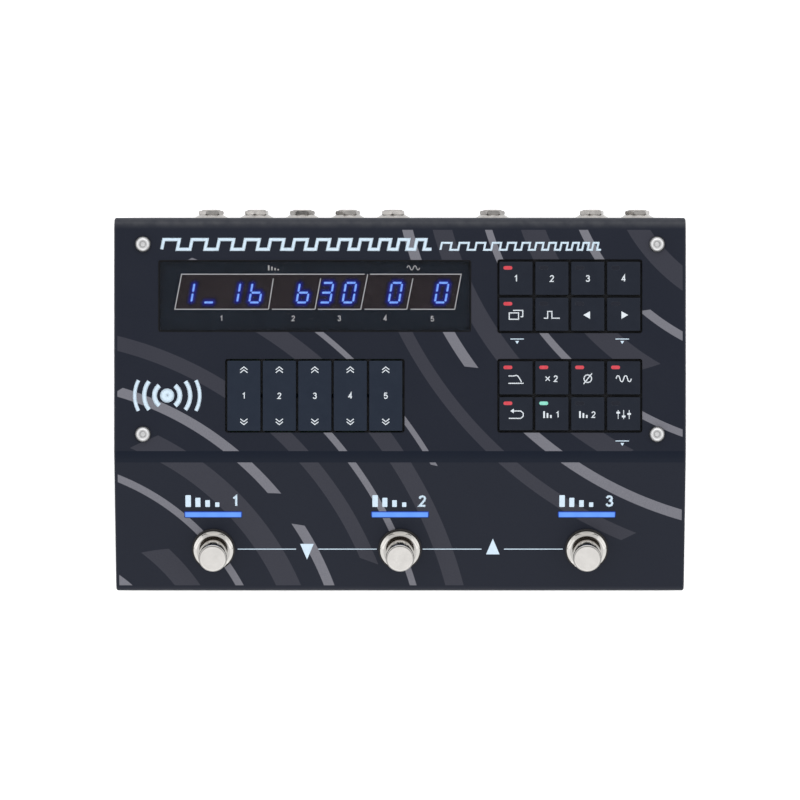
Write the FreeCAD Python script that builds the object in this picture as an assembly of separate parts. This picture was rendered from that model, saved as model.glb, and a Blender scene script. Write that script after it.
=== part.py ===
import FreeCAD, Part
import math
import os

# Digital delay pedal. X runs to the player's right, Y to the rear and Z up.
# The origin lies on the surface the pedal stands on, below the middle of its outline.

Vec = FreeCAD.Vector

# Housing
case_width = 271.0
case_depth = 177.5
case_height = 56.0
wall = 2.0
slope_deg = 18.0
slope_depth = 65.0
bend_round = 12.0
front_edge_round = 3.0
rear_edge_round = 4.7
side_edge_round = 1.2
rear_frame_width = 4.8
rear_lip_height = 9.0
front_flange_depth = 11.0
flange_inset = 15.0
seam_gap = 0.25

# Folded base tray with two screw ears on each side
tray_thick = 1.5
tray_bend = 1.0
ear_reach = 14.4
ear_length = 22.0
rear_leg_depth = 12.0

# Feet
foot_height = 5.0
foot_radius = 7.5
foot_tip_radius = 6.6
foot_from_side = 22.0
foot_from_end = 24.0
foot_recess_radius = 3.8
foot_recess_depth = 2.6

# M4 button-head screws on top, M3 countersunk screws below, M3 pan heads on the boards
m4_radius = 2.0
m4_head_radius = 3.8
m4_head_height = 2.2
m4_socket = 2.5
m4_length = 9.0
m4_from_side = 13.7
m4_from_rear = 12.7
m4_pitch = 90.0
m3_radius = 1.5
m3_head_radius = 2.8
m3_head_height = 1.7
m3_socket = 2.0
m3_length = 5.0
hole_clearance = 0.25
thread_clearance = 0.04
clinch_nut_radius = 3.9
clinch_nut_height = 4.0
bottom_screw_columns = (-115.0, -45.0, 45.0, 115.0)

# Display window and its digit modules
window_width = 147.6
window_depth = 33.4
window_corner = 1.2
window_edge_round = 0.4
window_x = -40.4
window_from_rear = 37.2
window_recess = 0.2
window_gap = 0.4
window_flange = 1.9
window_flange_thick = 1.0
digit_pitch = 10.8
digit_module_depth = 16.0
digit_module_height = 7.8
digit_group_pitch = 21.95
four_digit_x = -84.5
first_pair_x = -51.2
pair_count = 4
digits_from_rear = 35.6

# Square keys and rocker keys
key_size = 15.7
key_gap = 1.3
key_columns = 4
key_rows = 2
key_well_margin = 1.0
key_well_end_margin = 1.15
well_corner = 1.2
key_height = 2.6
key_proud = 0.8
key_travel = 0.7
key_edge_round = 0.4
key_skirt_inset = 1.8
key_skirt_wall = 1.4
key_skirt_depth = 6.6
key_hook_height = 0.8
key_hook_reach = 0.6
key_hook_gap = 0.2
key_guide_gap = 0.3
key_guide_thick = 3.8
key_guide_wall = 1.5
key_window_length = 4.3
key_window_width = 1.8
key_window_depth = 0.5
key_window_from_left = 4.0
key_window_from_rear = 2.9
pusher_radius = 1.5
pusher_spare = 0.2
keys_x = 80.45
upper_keys_from_rear = 37.35
lower_keys_from_rear = 84.5
rockers_x = -40.35
rocker_count = 5
rocker_gap = 1.1
rocker_length = 33.2
rocker_well_margin = 1.1
rocker_end_gap = 0.85
rocker_frame_drop = 1.0
rocker_tilt_deg = 2.0
rocker_pivot_drop = 3.7
rocker_pin_radius = 1.0
rocker_pin_clearance = 0.06
rocker_pin_grip = 1.2
rocker_rib = 3.0
rocker_carrier_inset = 1.7
rocker_carrier_length = 14.0
rocker_carrier_wall = 1.3
rocker_snap_width = 1.7
rocker_switch_offset = 11.0

# Boards behind the panel
board_thick = 1.6
panel_spacer_length = 9.0
spacer_radius = 3.0
panel_board_margin = 2.3
spacer_columns = (-104.0, -40.0, 24.0, 100.0)
spacer_from_well = 5.3
spacer_from_edge = 4.3
tact_size = 6.0
tact_body_height = 3.5
tact_height = 5.0
tact_plunger_radius = 1.75

# Main board and jack board, both carried by the base tray
main_board_width = 212.0
main_board_height = 5.5
main_board_behind_switches = 15.0
board_to_board_gap = 8.0
standoff_inset = 6.0
jack_board_height = 11.9
jack_board_depth = 35.0
jack_board_overhang = 13.0
jack_board_screw_columns = (-110.0, -36.0, 60.0, 110.0)

# Sockets in the rear panel
jack_places = (-90.4, -68.6, -46.8, -25.0, -3.2, 44.2, 91.8, 113.6)
jack_turns = (8.0, 22.0, 0.0, 14.0, 27.0, 5.0, 18.0, 11.0)
jack_axis_height = 25.0
jack_bore_radius = 3.25
jack_bore_length = 31.0
jack_bush_radius = 4.5
jack_body_width = 16.0
jack_body_length = 27.0
jack_body_above_axis = 9.0
jack_washer_radius = 8.5
jack_washer_rim = 0.5
jack_washer_height = 2.1
jack_washer_sheet = 0.7
jack_nut_wall = 0.7
jack_nut_height = 1.9
jack_bush_past_nut = 0.5
mini_jack_places = (14.8, 26.4)
mini_jack_axis_above_board = 5.0
mini_jack_bore_radius = 1.8
mini_jack_bore_length = 14.0
mini_jack_nose_radius = 3.0
mini_jack_width = 11.0
usb_x = 68.0
usb_width = 8.94
usb_height = 3.26
usb_length = 7.3
usb_wall = 0.3
dc_x = -112.0
dc_axis_above_board = 6.5
dc_nose_radius = 4.3
dc_bore_radius = 3.15
dc_pin_radius = 1.05
dc_width = 9.4
dc_length = 14.0
flush_set_back = 0.2

# Foot switches on the sloping panel, measured square to it
switch_places = (-88.8, 0.0, 88.8)
switch_from_front = 20.0
switch_travel = 3.0
switch_washer_radius = 10.3
switch_washer_thick = 0.8
switch_nut_flats = 17.0
switch_nut_height = 3.0
switch_nut_corner_radius = 9.3
switch_nut_face_radius = 7.9
switch_nut_flange_radius = 9.45
switch_nut_flange_height = 0.7
switch_nut_bevel_deg = 30.0
switch_lower_nut_flats = 14.5
switch_lower_nut_height = 2.0
switch_bush_radius = 6.0
switch_bush_proud = 4.2
switch_bush_depth = 9.0
switch_stem_radius = 4.0
switch_stem_clearance = 0.06
switch_cap_radius = 6.75
switch_cap_height = 6.3
switch_cap_round = 0.9
switch_cap_spare = 0.2
switch_collar_radius = 4.8
switch_collar_height = 1.2
switch_case_width = 17.4
switch_case_height = 13.0
switch_terminal_length = 4.0
switch_terminal_pitch = 5.0

# Light bars above the foot switches
bar_length = 26.9
bar_width = 2.75
bar_corner = 0.4
bar_slot_gap = 0.3
bar_proud = 0.1
bar_flange = 1.2
bar_flange_thick = 2.2
bar_depth = 6.0
bars_from_front = 36.5
bar_board_drop = 7.6
bar_board_width = 12.0
bar_spacer_columns = (-107.0, -44.4, 44.4, 107.0)

# Cables
ribbon_width = 25.0
ribbon_thick = 0.9
plug_height = 6.0
plug_depth = 6.0
lead_radius = 0.75
lead_spread = 3.0
panel_ribbon_x = -84.0
bar_ribbon_x = 22.0

# Places that follow from the sizes above
half_width = case_width / 2
jack_proud = jack_washer_height + jack_nut_height + jack_bush_past_nut
case_front = -(case_depth + jack_proud) / 2
case_rear = case_front + case_depth
case_bottom = foot_height
panel_top = case_bottom + case_height
panel_under = panel_top - wall
slope = math.radians(slope_deg)
bend_y = case_front + slope_depth
tray_top = case_bottom + tray_thick
rear_inner = case_rear - wall
rear_lip_bottom = panel_top - rear_lip_height
m4_x = half_width - m4_from_side
m4_rows = (case_rear - m4_from_rear - m4_pitch, case_rear - m4_from_rear)
window_y = case_rear - window_from_rear
digits_y = case_rear - digits_from_rear
key_pitch = key_size + key_gap
rocker_pitch = key_size + rocker_gap
key_skirt = key_size - 2 * key_skirt_inset
key_window_x = -key_size / 2 + key_window_from_left
key_window_y = key_size / 2 - key_window_from_rear
rocker_carrier = key_size - 2 * rocker_carrier_inset
jack_nut_flats = 2 * (jack_bush_radius + jack_nut_wall)
upper_keys_y = case_rear - upper_keys_from_rear
lower_keys_y = case_rear - lower_keys_from_rear
key_well_width = key_columns * key_pitch - key_gap + 2 * key_well_margin
key_well_depth = key_rows * key_pitch - key_gap + 2 * key_well_end_margin
rocker_well_width = rocker_count * rocker_pitch - rocker_gap + 2 * rocker_well_margin
rocker_well_depth = rocker_length + 2 * rocker_end_gap
key_top = panel_top + key_proud
key_under = key_top - key_height
panel_board_top = panel_under - panel_spacer_length
guide_bottom = key_under - key_skirt_depth + key_hook_height + key_hook_gap
rocker_pivot_z = key_under - rocker_pivot_drop
board_left = window_x - window_width / 2 - panel_board_margin
board_right = keys_x + key_well_width / 2 + panel_board_margin
spacer_rows = (
    lower_keys_y - max(key_well_depth, rocker_well_depth) / 2 - spacer_from_well,
    (upper_keys_y + lower_keys_y) / 2,
    max(upper_keys_y + key_well_depth / 2, window_y + window_depth / 2) + spacer_from_well,
)
board_front = spacer_rows[0] - spacer_from_edge
board_rear = spacer_rows[2] + spacer_from_edge
jack_z = case_bottom + jack_axis_height
jack_board_bottom = tray_top + jack_board_height
jack_board_top = jack_board_bottom + board_thick
jack_board_front = rear_inner - jack_board_depth
main_board_bottom = tray_top + main_board_height
main_board_top = main_board_bottom + board_thick
switch_y = case_front + switch_from_front
bars_y = case_front + bars_from_front
main_board_front = switch_y + main_board_behind_switches
main_board_rear = jack_board_front - board_to_board_gap
switch_cap_bottom = switch_bush_proud + switch_travel + switch_cap_spare


def slope_top(y):
    return panel_top - (bend_y - y) * math.tan(slope)


def on_slope(shape, x, y):
    # Stands a shape, drawn on z = 0, on the sloping panel above the point (x, y).
    placed = shape.copy()
    place = FreeCAD.Placement(Vec(x, y, slope_top(y)), FreeCAD.Rotation(Vec(1, 0, 0), slope_deg))
    placed.Placement = place.multiply(placed.Placement)
    return placed


def facing_rear(shape, x, z):
    # Turns a shape drawn along +Z so that it looks out of the rear panel's outer face.
    placed = shape.copy()
    place = FreeCAD.Placement(Vec(x, case_rear, z), FreeCAD.Rotation(Vec(1, 0, 0), -90))
    placed.Placement = place.multiply(placed.Placement)
    return placed


def at(shape, x, y, z):
    return shape.translated(Vec(x, y, z))


def block(x_size, y_size, z_size, x=0.0, y=0.0, z=0.0):
    return Part.makeBox(x_size, y_size, z_size, Vec(x - x_size / 2, y - y_size / 2, z))


def rod(radius, height, x=0.0, y=0.0, z=0.0):
    return Part.makeCylinder(radius, height, Vec(x, y, z))


def rounded_face(corners, radii):
    # A flat face through the corners, each rounded by its own radius.
    starts = []
    middles = []
    ends = []
    for i, corner in enumerate(corners):
        back = (corners[i - 1] - corner).normalize()
        onward = (corners[(i + 1) % len(corners)] - corner).normalize()
        half_angle = back.getAngle(onward) / 2
        reach = radii[i] / math.tan(half_angle)
        bisector = (back + onward).normalize()
        centre = corner + bisector * (radii[i] / math.sin(half_angle))
        starts.append(corner + back * reach)
        middles.append(centre - bisector * radii[i])
        ends.append(corner + onward * reach)
    edges = []
    for i in range(len(corners)):
        edges.append(Part.makeLine(ends[i - 1], starts[i]))
        if radii[i] > 0:
            edges.append(Part.Arc(starts[i], middles[i], ends[i]).toShape())
    return Part.Face(Part.Wire(edges))


def rounded_plate(x_size, y_size, thick, corner, x=0.0, y=0.0, z=0.0):
    left = x - x_size / 2
    right = x + x_size / 2
    front = y - y_size / 2
    rear = y + y_size / 2
    corners = [Vec(left, front, z), Vec(right, front, z), Vec(right, rear, z), Vec(left, rear, z)]
    return rounded_face(corners, [corner] * 4).extrude(Vec(0, 0, thick))


def turned(profile):
    # Revolves a closed (radius, height) outline about the Z axis.
    points = [Vec(r, 0, z) for r, z in profile]
    face = Part.Face(Part.makePolygon(points + points[:1]))
    return face.revolve(Vec(0, 0, 0), Vec(0, 0, 1), 360)


def hexagon(across_flats, height, z=0.0, turn_deg=0.0):
    radius = across_flats / 2 / math.cos(math.pi / 6)
    points = []
    for i in range(6):
        angle = math.radians(60 * i + turn_deg)
        points.append(Vec(radius * math.cos(angle), radius * math.sin(angle), z))
    return Part.Face(Part.makePolygon(points + points[:1])).extrude(Vec(0, 0, height))


def hex_nut(across_flats, height, hole_radius, chamfer_radius, turn_deg=0.0):
    corner_radius = across_flats / 2 / math.cos(math.pi / 6)
    chamfer = corner_radius - chamfer_radius
    crown = turned(
        [
            (hole_radius, 0),
            (chamfer_radius, 0),
            (corner_radius, chamfer),
            (corner_radius, height - chamfer),
            (chamfer_radius, height),
            (hole_radius, height),
        ]
    )
    return crown.common(hexagon(across_flats, height, turn_deg=turn_deg))


def button_screw():
    # The M4 screw of the panel: a domed head on z = 0 with a flat crown, shank down.
    crown_radius = m4_head_radius * 0.58
    dome_start = Vec(m4_head_radius, 0, m4_head_height * 0.2)
    dome_middle = Vec(m4_head_radius * 0.84, 0, m4_head_height * 0.72)
    dome_end = Vec(crown_radius, 0, m4_head_height)
    edges = [
        Part.makeLine(Vec(0, 0, -m4_length), Vec(m4_radius, 0, -m4_length)),
        Part.makeLine(Vec(m4_radius, 0, -m4_length), Vec(m4_radius, 0, 0)),
        Part.makeLine(Vec(m4_radius, 0, 0), Vec(m4_head_radius, 0, 0)),
        Part.makeLine(Vec(m4_head_radius, 0, 0), dome_start),
        Part.Arc(dome_start, dome_middle, dome_end).toShape(),
        Part.makeLine(dome_end, Vec(0, 0, m4_head_height)),
        Part.makeLine(Vec(0, 0, m4_head_height), Vec(0, 0, -m4_length)),
    ]
    body = Part.Face(Part.Wire(edges)).revolve(Vec(0, 0, 0), Vec(0, 0, 1), 360)
    return body.cut(hexagon(m4_socket, m4_head_height, z=m4_head_height * 0.4))


def cap_screw():
    # The M3 screw of the boards and feet: a plain cylindrical head on z = 0, shank down.
    outline = [
        (0, -m3_length),
        (m3_radius, -m3_length),
        (m3_radius, 0),
        (m3_head_radius, 0),
        (m3_head_radius, m3_head_height - 0.3),
        (m3_head_radius - 0.3, m3_head_height),
        (0, m3_head_height),
    ]
    return turned(outline).cut(hexagon(m3_socket, m3_head_height, z=m3_head_height * 0.4))


def countersunk_screw():
    # Head down and flush with z = 0, shank up.
    top = m3_head_radius - m3_radius
    outline = [
        (0, 0),
        (m3_head_radius, 0),
        (m3_head_radius, 0.2),
        (m3_radius, top + 0.2),
        (m3_radius, m3_length),
        (0, m3_length),
    ]
    return turned(outline).cut(hexagon(m3_socket, 1.0))


def countersink(x, y):
    # The hole that the countersunk screw takes, from the underside up through the sheet.
    seat = m3_head_radius + 0.1
    outline = [
        (0, -1),
        (seat, -1),
        (seat, 0.25),
        (m3_radius + hole_clearance, seat - m3_radius),
        (m3_radius + hole_clearance, tray_thick + 1),
        (0, tray_thick + 1),
    ]
    return at(turned(outline), x, y, case_bottom)


def swept(points, section, bend):
    # Sweeps a section wire, drawn at the first point, along straight runs joined by arcs.
    edges = []
    last = points[0]
    for i in range(1, len(points) - 1):
        back = (points[i - 1] - points[i]).normalize()
        onward = (points[i + 1] - points[i]).normalize()
        half_angle = back.getAngle(onward) / 2
        reach = bend / math.tan(half_angle)
        bisector = (back + onward).normalize()
        middle = points[i] + bisector * (bend / math.sin(half_angle) - bend)
        edges.append(Part.makeLine(last, points[i] + back * reach))
        edges.append(Part.Arc(points[i] + back * reach, middle, points[i] + onward * reach).toShape())
        last = points[i] + onward * reach
    edges.append(Part.makeLine(last, points[-1]))
    return Part.Wire(edges).makePipeShell([section], True, False)


def key_centres(group_y):
    # Left to right, rear row first.
    centres = []
    for row in range(key_rows):
        y = group_y + ((key_rows - 1) / 2 - row) * key_pitch
        for column in range(key_columns):
            centres.append((keys_x + (column - (key_columns - 1) / 2) * key_pitch, y))
    return centres


def rocker_centres():
    return [rockers_x + (i - (rocker_count - 1) / 2) * rocker_pitch for i in range(rocker_count)]


def foot_centres():
    x = half_width - foot_from_side
    rows = (case_front + foot_from_end, case_rear - foot_from_end)
    return [(side * x, y) for side in (-1, 1) for y in rows]


def bottom_screw_centres():
    front = case_front + wall + front_flange_depth / 2
    rear = rear_inner - rear_leg_depth / 2 - 1
    return [(x, y) for x in bottom_screw_columns for y in (front, rear)]


def panel_spacer_centres():
    return [(x, y) for x in spacer_columns for y in spacer_rows]


def main_standoff_centres():
    x = main_board_width / 2 - standoff_inset
    rows = (main_board_front + standoff_inset, main_board_rear - standoff_inset)
    return [(column, y) for column in (-x, 0.0, x) for y in rows]


def jack_standoff_centres():
    return [(x, jack_board_front + 4.0) for x in jack_board_screw_columns]


def case_section(inset, bottom):
    # The housing's side outline, moved in by the inset and ended at the given height.
    front = case_front + inset
    rear = case_rear - inset
    top = panel_top - inset
    corners = [
        Vec(0, front, bottom),
        Vec(0, front, slope_top(front) - inset / math.cos(slope)),
        Vec(0, bend_y + inset * math.tan(slope / 2), top),
        Vec(0, rear, top),
        Vec(0, rear, bottom),
    ]
    rounds = [0, front_edge_round - inset, bend_round - inset, rear_edge_round - inset, 0]
    return rounded_face(corners, [max(r, 0) for r in rounds])


def case_block(inset, bottom):
    width = case_width - 2 * inset
    return at(case_section(inset, bottom), -width / 2, 0, 0).extrude(Vec(width, 0, 0))


def top_case():
    outer = case_block(0.0, case_bottom)
    side_edges = []
    for edge in outer.Edges:
        on_side = all(abs(abs(v.X) - half_width) < 0.001 for v in edge.Vertexes)
        if on_side and edge.CenterOfMass.z > case_bottom + 0.001:
            side_edges.append(edge)
    outer = outer.makeFillet(side_edge_round, side_edges)
    shell = outer.cut(case_block(wall, case_bottom - 1))
    rear_opening = block(
        case_width - 2 * rear_frame_width,
        4 * wall,
        rear_lip_bottom - case_bottom + 1,
        0,
        case_rear,
        case_bottom - 1,
    )
    flange = block(
        case_width - 2 * wall - 2 * flange_inset,
        front_flange_depth,
        wall,
        0,
        case_front + wall + front_flange_depth / 2,
        tray_top,
    )
    shell = shell.cut(rear_opening).fuse(flange)
    cuts = []
    for x, y in bottom_screw_centres():
        cuts.append(rod(m3_radius + thread_clearance, wall + 2, x, y, tray_top - 1))
    for x in (-m4_x, m4_x):
        for y in m4_rows:
            cuts.append(rod(m4_radius + hole_clearance, 3 * wall, x, y, panel_under - 1))
    deep = panel_under - 1
    window_hole = rounded_plate(
        window_width + 2 * window_gap,
        window_depth + 2 * window_gap,
        3 * wall,
        window_corner,
        window_x,
        window_y,
        deep,
    )
    cuts.append(window_hole)
    for y in (upper_keys_y, lower_keys_y):
        cuts.append(rounded_plate(key_well_width, key_well_depth, 3 * wall, well_corner, keys_x, y, deep))
    cuts.append(
        rounded_plate(
            rocker_well_width, rocker_well_depth, 3 * wall, well_corner, rockers_x, lower_keys_y, deep
        )
    )
    for x in switch_places:
        cuts.append(on_slope(rod(switch_bush_radius + hole_clearance, 3 * wall, z=-2 * wall), x, switch_y))
        slot = rounded_plate(
            bar_length + 2 * bar_slot_gap,
            bar_width + 2 * bar_slot_gap,
            3 * wall,
            bar_corner + bar_slot_gap,
            z=-2 * wall,
        )
        cuts.append(on_slope(slot, x, bars_y))
    return shell.cut(cuts)


def bottom_cover():
    outer = half_width - wall - seam_gap
    top = panel_under
    lip = outer - tray_thick - ear_reach
    inner = outer - tray_thick
    base = case_bottom
    section = [
        Vec(-outer, 0, base),
        Vec(outer, 0, base),
        Vec(outer, 0, top),
        Vec(lip, 0, top),
        Vec(lip, 0, top - tray_thick),
        Vec(inner, 0, top - tray_thick),
        Vec(inner, 0, tray_top),
        Vec(-inner, 0, tray_top),
        Vec(-inner, 0, top - tray_thick),
        Vec(-lip, 0, top - tray_thick),
        Vec(-lip, 0, top),
        Vec(-outer, 0, top),
    ]
    bend = tray_bend + tray_thick
    rounds = [bend, bend, bend, 0, 0, tray_bend, tray_bend, tray_bend, tray_bend, 0, 0, bend]
    front = case_front + wall + seam_gap
    rear = case_rear - seam_gap
    tray = at(rounded_face(section, rounds), 0, front, 0).extrude(Vec(0, rear - front, 0))
    tray = tray.common(case_block(wall + seam_gap / 2, case_bottom))
    tongue_width = case_width - 2 * rear_frame_width - 2 * seam_gap
    tray = tray.fuse(block(tongue_width, wall, tray_thick, 0, rear - wall / 2, base))
    flange_height = top - tray_top
    cuts = [block(2 * half_width, 2 * wall + 1, flange_height + 2, 0, case_rear - 1, tray_top)]
    ear_rows = (case_front,) + m4_rows + (case_rear,)
    for before, after in zip(ear_rows, ear_rows[1:]):
        start = before + (ear_length / 2 if before != case_front else 0)
        end = after - (ear_length / 2 if after != case_rear else 0)
        if end > start:
            notch = block(2 * inner, end - start, tray_thick + 3, 0, (start + end) / 2, top - tray_thick - 2)
            cuts.append(notch)
    for x in (-m4_x, m4_x):
        for y in m4_rows:
            cuts.append(rod(m4_radius + hole_clearance, 3 * tray_thick, x, y, top - 2 * tray_thick))
    for x, y in bottom_screw_centres():
        cuts.append(countersink(x, y))
    for x, y in foot_centres():
        cuts.append(rod(m3_radius + thread_clearance, 3 * tray_thick, x, y, base - tray_thick))
    return tray.cut(cuts)


def rear_panel():
    inner = rear_inner
    leg = inner - rear_leg_depth
    top = rear_lip_bottom - seam_gap
    corners = [
        Vec(0, leg, tray_top),
        Vec(0, case_rear, tray_top),
        Vec(0, case_rear, top),
        Vec(0, inner, top),
        Vec(0, inner, tray_top + wall),
        Vec(0, leg, tray_top + wall),
    ]
    section = rounded_face(corners, [0, wall + 0.5, 0, 0, 0.5, 0])
    width = case_width - 2 * rear_frame_width - 2 * seam_gap
    panel = at(section, -width / 2, 0, 0).extrude(Vec(width, 0, 0))
    cuts = []
    for x in jack_places:
        hole = rod(jack_bush_radius + hole_clearance, 3 * wall, z=-2 * wall)
        cuts.append(facing_rear(hole, x, jack_z))
    for x in mini_jack_places:
        hole = rod(mini_jack_nose_radius + hole_clearance, 3 * wall, z=-2 * wall)
        cuts.append(facing_rear(hole, x, jack_board_top + mini_jack_axis_above_board))
    usb_hole = rounded_plate(usb_width + 0.5, usb_height + 0.5, 3 * wall, 1.8, z=-2 * wall)
    cuts.append(facing_rear(usb_hole, usb_x, jack_board_top + usb_height / 2))
    dc_hole = rod(dc_nose_radius + hole_clearance, 3 * wall, z=-2 * wall)
    cuts.append(facing_rear(dc_hole, dc_x, jack_board_top + dc_axis_above_board))
    for x, y in bottom_screw_centres():
        if y > 0:
            cuts.append(rod(m3_radius + thread_clearance, 3 * wall, x, y, tray_top - wall))
    return panel.cut(cuts)


def rubber_feet():
    outline = [
        (m3_radius + hole_clearance, foot_recess_depth),
        (foot_recess_radius, foot_recess_depth),
        (foot_recess_radius, 0),
        (foot_tip_radius - 0.6, 0),
        (foot_tip_radius, 0.6),
        (foot_radius, foot_height),
        (m3_radius + hole_clearance, foot_height),
    ]
    foot = turned(outline)
    return Part.makeCompound([at(foot, x, y, 0) for x, y in foot_centres()])


def foot_screws():
    fastener = cap_screw()
    fastener.rotate(Vec(0, 0, 0), Vec(1, 0, 0), 180)
    return Part.makeCompound([at(fastener, x, y, foot_recess_depth) for x, y in foot_centres()])


def bottom_screws():
    fastener = countersunk_screw()
    return Part.makeCompound([at(fastener, x, y, case_bottom) for x, y in bottom_screw_centres()])


def case_screws():
    fastener = button_screw()
    return Part.makeCompound([at(fastener, x, y, panel_top) for x in (-m4_x, m4_x) for y in m4_rows])


def clinch_nuts():
    top = panel_under - tray_thick
    nut = rod(clinch_nut_radius, clinch_nut_height)
    nut = nut.cut(rod(m4_radius + thread_clearance, clinch_nut_height))
    z = top - clinch_nut_height
    return Part.makeCompound([at(nut, x, y, z) for x in (-m4_x, m4_x) for y in m4_rows])


def display_window():
    top = panel_top - window_recess
    lens = rounded_plate(
        window_width, window_depth, top - panel_under, window_corner, window_x, window_y, panel_under
    )
    lens = lens.makeFillet(window_edge_round, [e for e in lens.Edges if e.CenterOfMass.z > top - 0.001])
    flange = rounded_plate(
        window_width + 2 * window_flange,
        window_depth + 2 * window_flange,
        window_flange_thick,
        window_corner,
        window_x,
        window_y,
        panel_under - window_flange_thick,
    )
    return lens.fuse(flange).removeSplitter()


def digit_modules():
    modules = []
    widths = [(four_digit_x, 4)] + [(first_pair_x + i * digit_group_pitch, 2) for i in range(pair_count)]
    for x, digits in widths:
        width = digits * digit_pitch
        module = block(width, digit_module_depth, digit_module_height, x, digits_y, panel_board_top)
        top = panel_board_top + digit_module_height
        rim = [e for e in module.Edges if e.CenterOfMass.z > top - 0.01]
        modules.append(module.makeChamfer(0.3, rim))
    return Part.makeCompound(modules)


def key_guide(group_y):
    # A moulded rim between board and panel, with a plate of square cells that guide the skirts.
    outer_width = key_well_width + 2 * key_guide_wall + 0.4
    outer_depth = key_well_depth + 2 * key_guide_wall + 0.4
    height = panel_under - panel_board_top
    rim = rounded_plate(outer_width, outer_depth, height, 1.5, keys_x, group_y, panel_board_top)
    inside = rounded_plate(
        outer_width - 2 * key_guide_wall,
        outer_depth - 2 * key_guide_wall,
        height,
        0.6,
        keys_x,
        group_y,
        panel_board_top,
    )
    plate = block(
        outer_width - key_guide_wall,
        outer_depth - key_guide_wall,
        key_guide_thick,
        keys_x,
        group_y,
        guide_bottom,
    )
    cell = key_skirt + 2 * key_guide_gap
    cells = [rounded_plate(cell, cell, height, 0.6, x, y, panel_board_top) for x, y in key_centres(group_y)]
    return rim.cut(inside).fuse(plate).cut(cells)


def key():
    # Drawn about the middle of the cap, with z = 0 at its top face.
    cap = rounded_plate(key_size, key_size, key_height, 0.5, z=-key_height)
    top_edges = [e for e in cap.Edges if e.CenterOfMass.z > -0.001]
    cap = cap.makeFillet(key_edge_round, top_edges)
    bottom = -key_height - key_skirt_depth
    skirt = rounded_plate(key_skirt, key_skirt, key_skirt_depth, 0.8, z=bottom)
    inner = key_skirt - 2 * key_skirt_wall
    skirt = skirt.cut(block(inner, inner, key_skirt_depth, z=bottom))
    hook = block(key_skirt / 2, key_skirt + 2 * key_hook_reach, key_hook_height, z=bottom)
    hook = hook.cut(block(key_skirt, inner, key_hook_height, z=bottom))
    length = pusher_length(key_travel)
    pusher = rod(pusher_radius, length, z=-key_height - length)
    pocket = rounded_plate(
        key_window_length,
        key_window_width,
        key_window_depth,
        key_window_width / 2 - 0.01,
        key_window_x,
        key_window_y,
        -key_window_depth,
    )
    return cap.fuse([skirt, hook, pusher]).cut(pocket)


def pusher_length(travel):
    # Ends just above the tact plunger after the given travel.
    return key_under - panel_board_top - tact_height - travel - pusher_spare


def rocker_frame():
    # A moulded tub with a rib between neighbouring rockers, each with a snap-in pivot seat.
    inner_width = rocker_well_width + 0.4
    inner_depth = rocker_well_depth + 0.4
    outer_width = inner_width + 2 * key_guide_wall
    outer_depth = inner_depth + 2 * key_guide_wall
    height = panel_under - panel_board_top
    tub = rounded_plate(outer_width, outer_depth, height, 1.5, rockers_x, lower_keys_y, panel_board_top)
    rib_top = key_under - rocker_frame_drop
    tub = tub.cut(
        block(inner_width, inner_depth, height, rockers_x, lower_keys_y, rib_top)
    )
    cell_width = rocker_pitch - rocker_rib
    cuts = [
        block(cell_width, inner_depth, height, x, lower_keys_y, panel_board_top) for x in rocker_centres()
    ]
    seat_length = rocker_count * rocker_pitch + 2 * rocker_pin_grip - rocker_rib + 0.4
    seat = Part.makeCylinder(
        rocker_pin_radius + rocker_pin_clearance,
        seat_length,
        Vec(rockers_x - seat_length / 2, lower_keys_y, rocker_pivot_z),
        Vec(1, 0, 0),
    )
    snap = block(
        seat_length,
        rocker_snap_width,
        rib_top - rocker_pivot_z + 0.1,
        rockers_x,
        lower_keys_y,
        rocker_pivot_z,
    )
    return tub.cut(cuts + [seat, snap])


def rocker():
    # Drawn about the middle of the cap, with z = 0 at its top face.
    cap = rounded_plate(key_size, rocker_length, key_height, 0.5, z=-key_height)
    top_edges = [e for e in cap.Edges if e.CenterOfMass.z > -0.001]
    cap = cap.makeFillet(key_edge_round, top_edges)
    pin_z = rocker_pivot_z - key_top
    depth = key_under - rocker_pivot_z + rocker_pin_radius + 0.8
    corners = [
        Vec(0, -rocker_carrier_length / 2, -key_height),
        Vec(0, -rocker_pin_radius - 1.4, -key_height - depth),
        Vec(0, rocker_pin_radius + 1.4, -key_height - depth),
        Vec(0, rocker_carrier_length / 2, -key_height),
    ]
    cheek = rounded_face(corners, [0, 1.2, 1.2, 0]).extrude(Vec(rocker_carrier_wall, 0, 0))
    side = rocker_carrier / 2 - rocker_carrier_wall
    pin_reach = rocker_pitch / 2 - rocker_rib / 2 + rocker_pin_grip
    pin_length = pin_reach - side
    pins = [
        Part.makeCylinder(rocker_pin_radius, pin_length, Vec(side, 0, pin_z), Vec(1, 0, 0)),
        Part.makeCylinder(rocker_pin_radius, pin_length, Vec(-side, 0, pin_z), Vec(-1, 0, 0)),
    ]
    cheeks = [at(cheek, side, 0, 0), at(cheek, -side - rocker_carrier_wall, 0, 0)]
    reach = rocker_switch_offset + pusher_radius
    length = pusher_length(reach * math.sin(math.radians(rocker_tilt_deg)))
    pushers = []
    for y in (-rocker_switch_offset, rocker_switch_offset):
        pushers.append(rod(pusher_radius, length, 0, y, -key_height - length))
    return cap.fuse(cheeks + pins + pushers)


def screw_hole(x, y, board_bottom):
    return rod(m3_radius + hole_clearance, 3 * board_thick, x, y, board_bottom - board_thick)


def panel_board():
    width = board_right - board_left
    depth = board_rear - board_front
    x = (board_left + board_right) / 2
    y = (board_front + board_rear) / 2
    board = rounded_plate(width, depth, board_thick, 2.0, x, y, panel_board_top - board_thick)
    holes = []
    for x, y in panel_spacer_centres():
        holes.append(screw_hole(x, y, panel_board_top - board_thick))
    return board.cut(holes)


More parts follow.
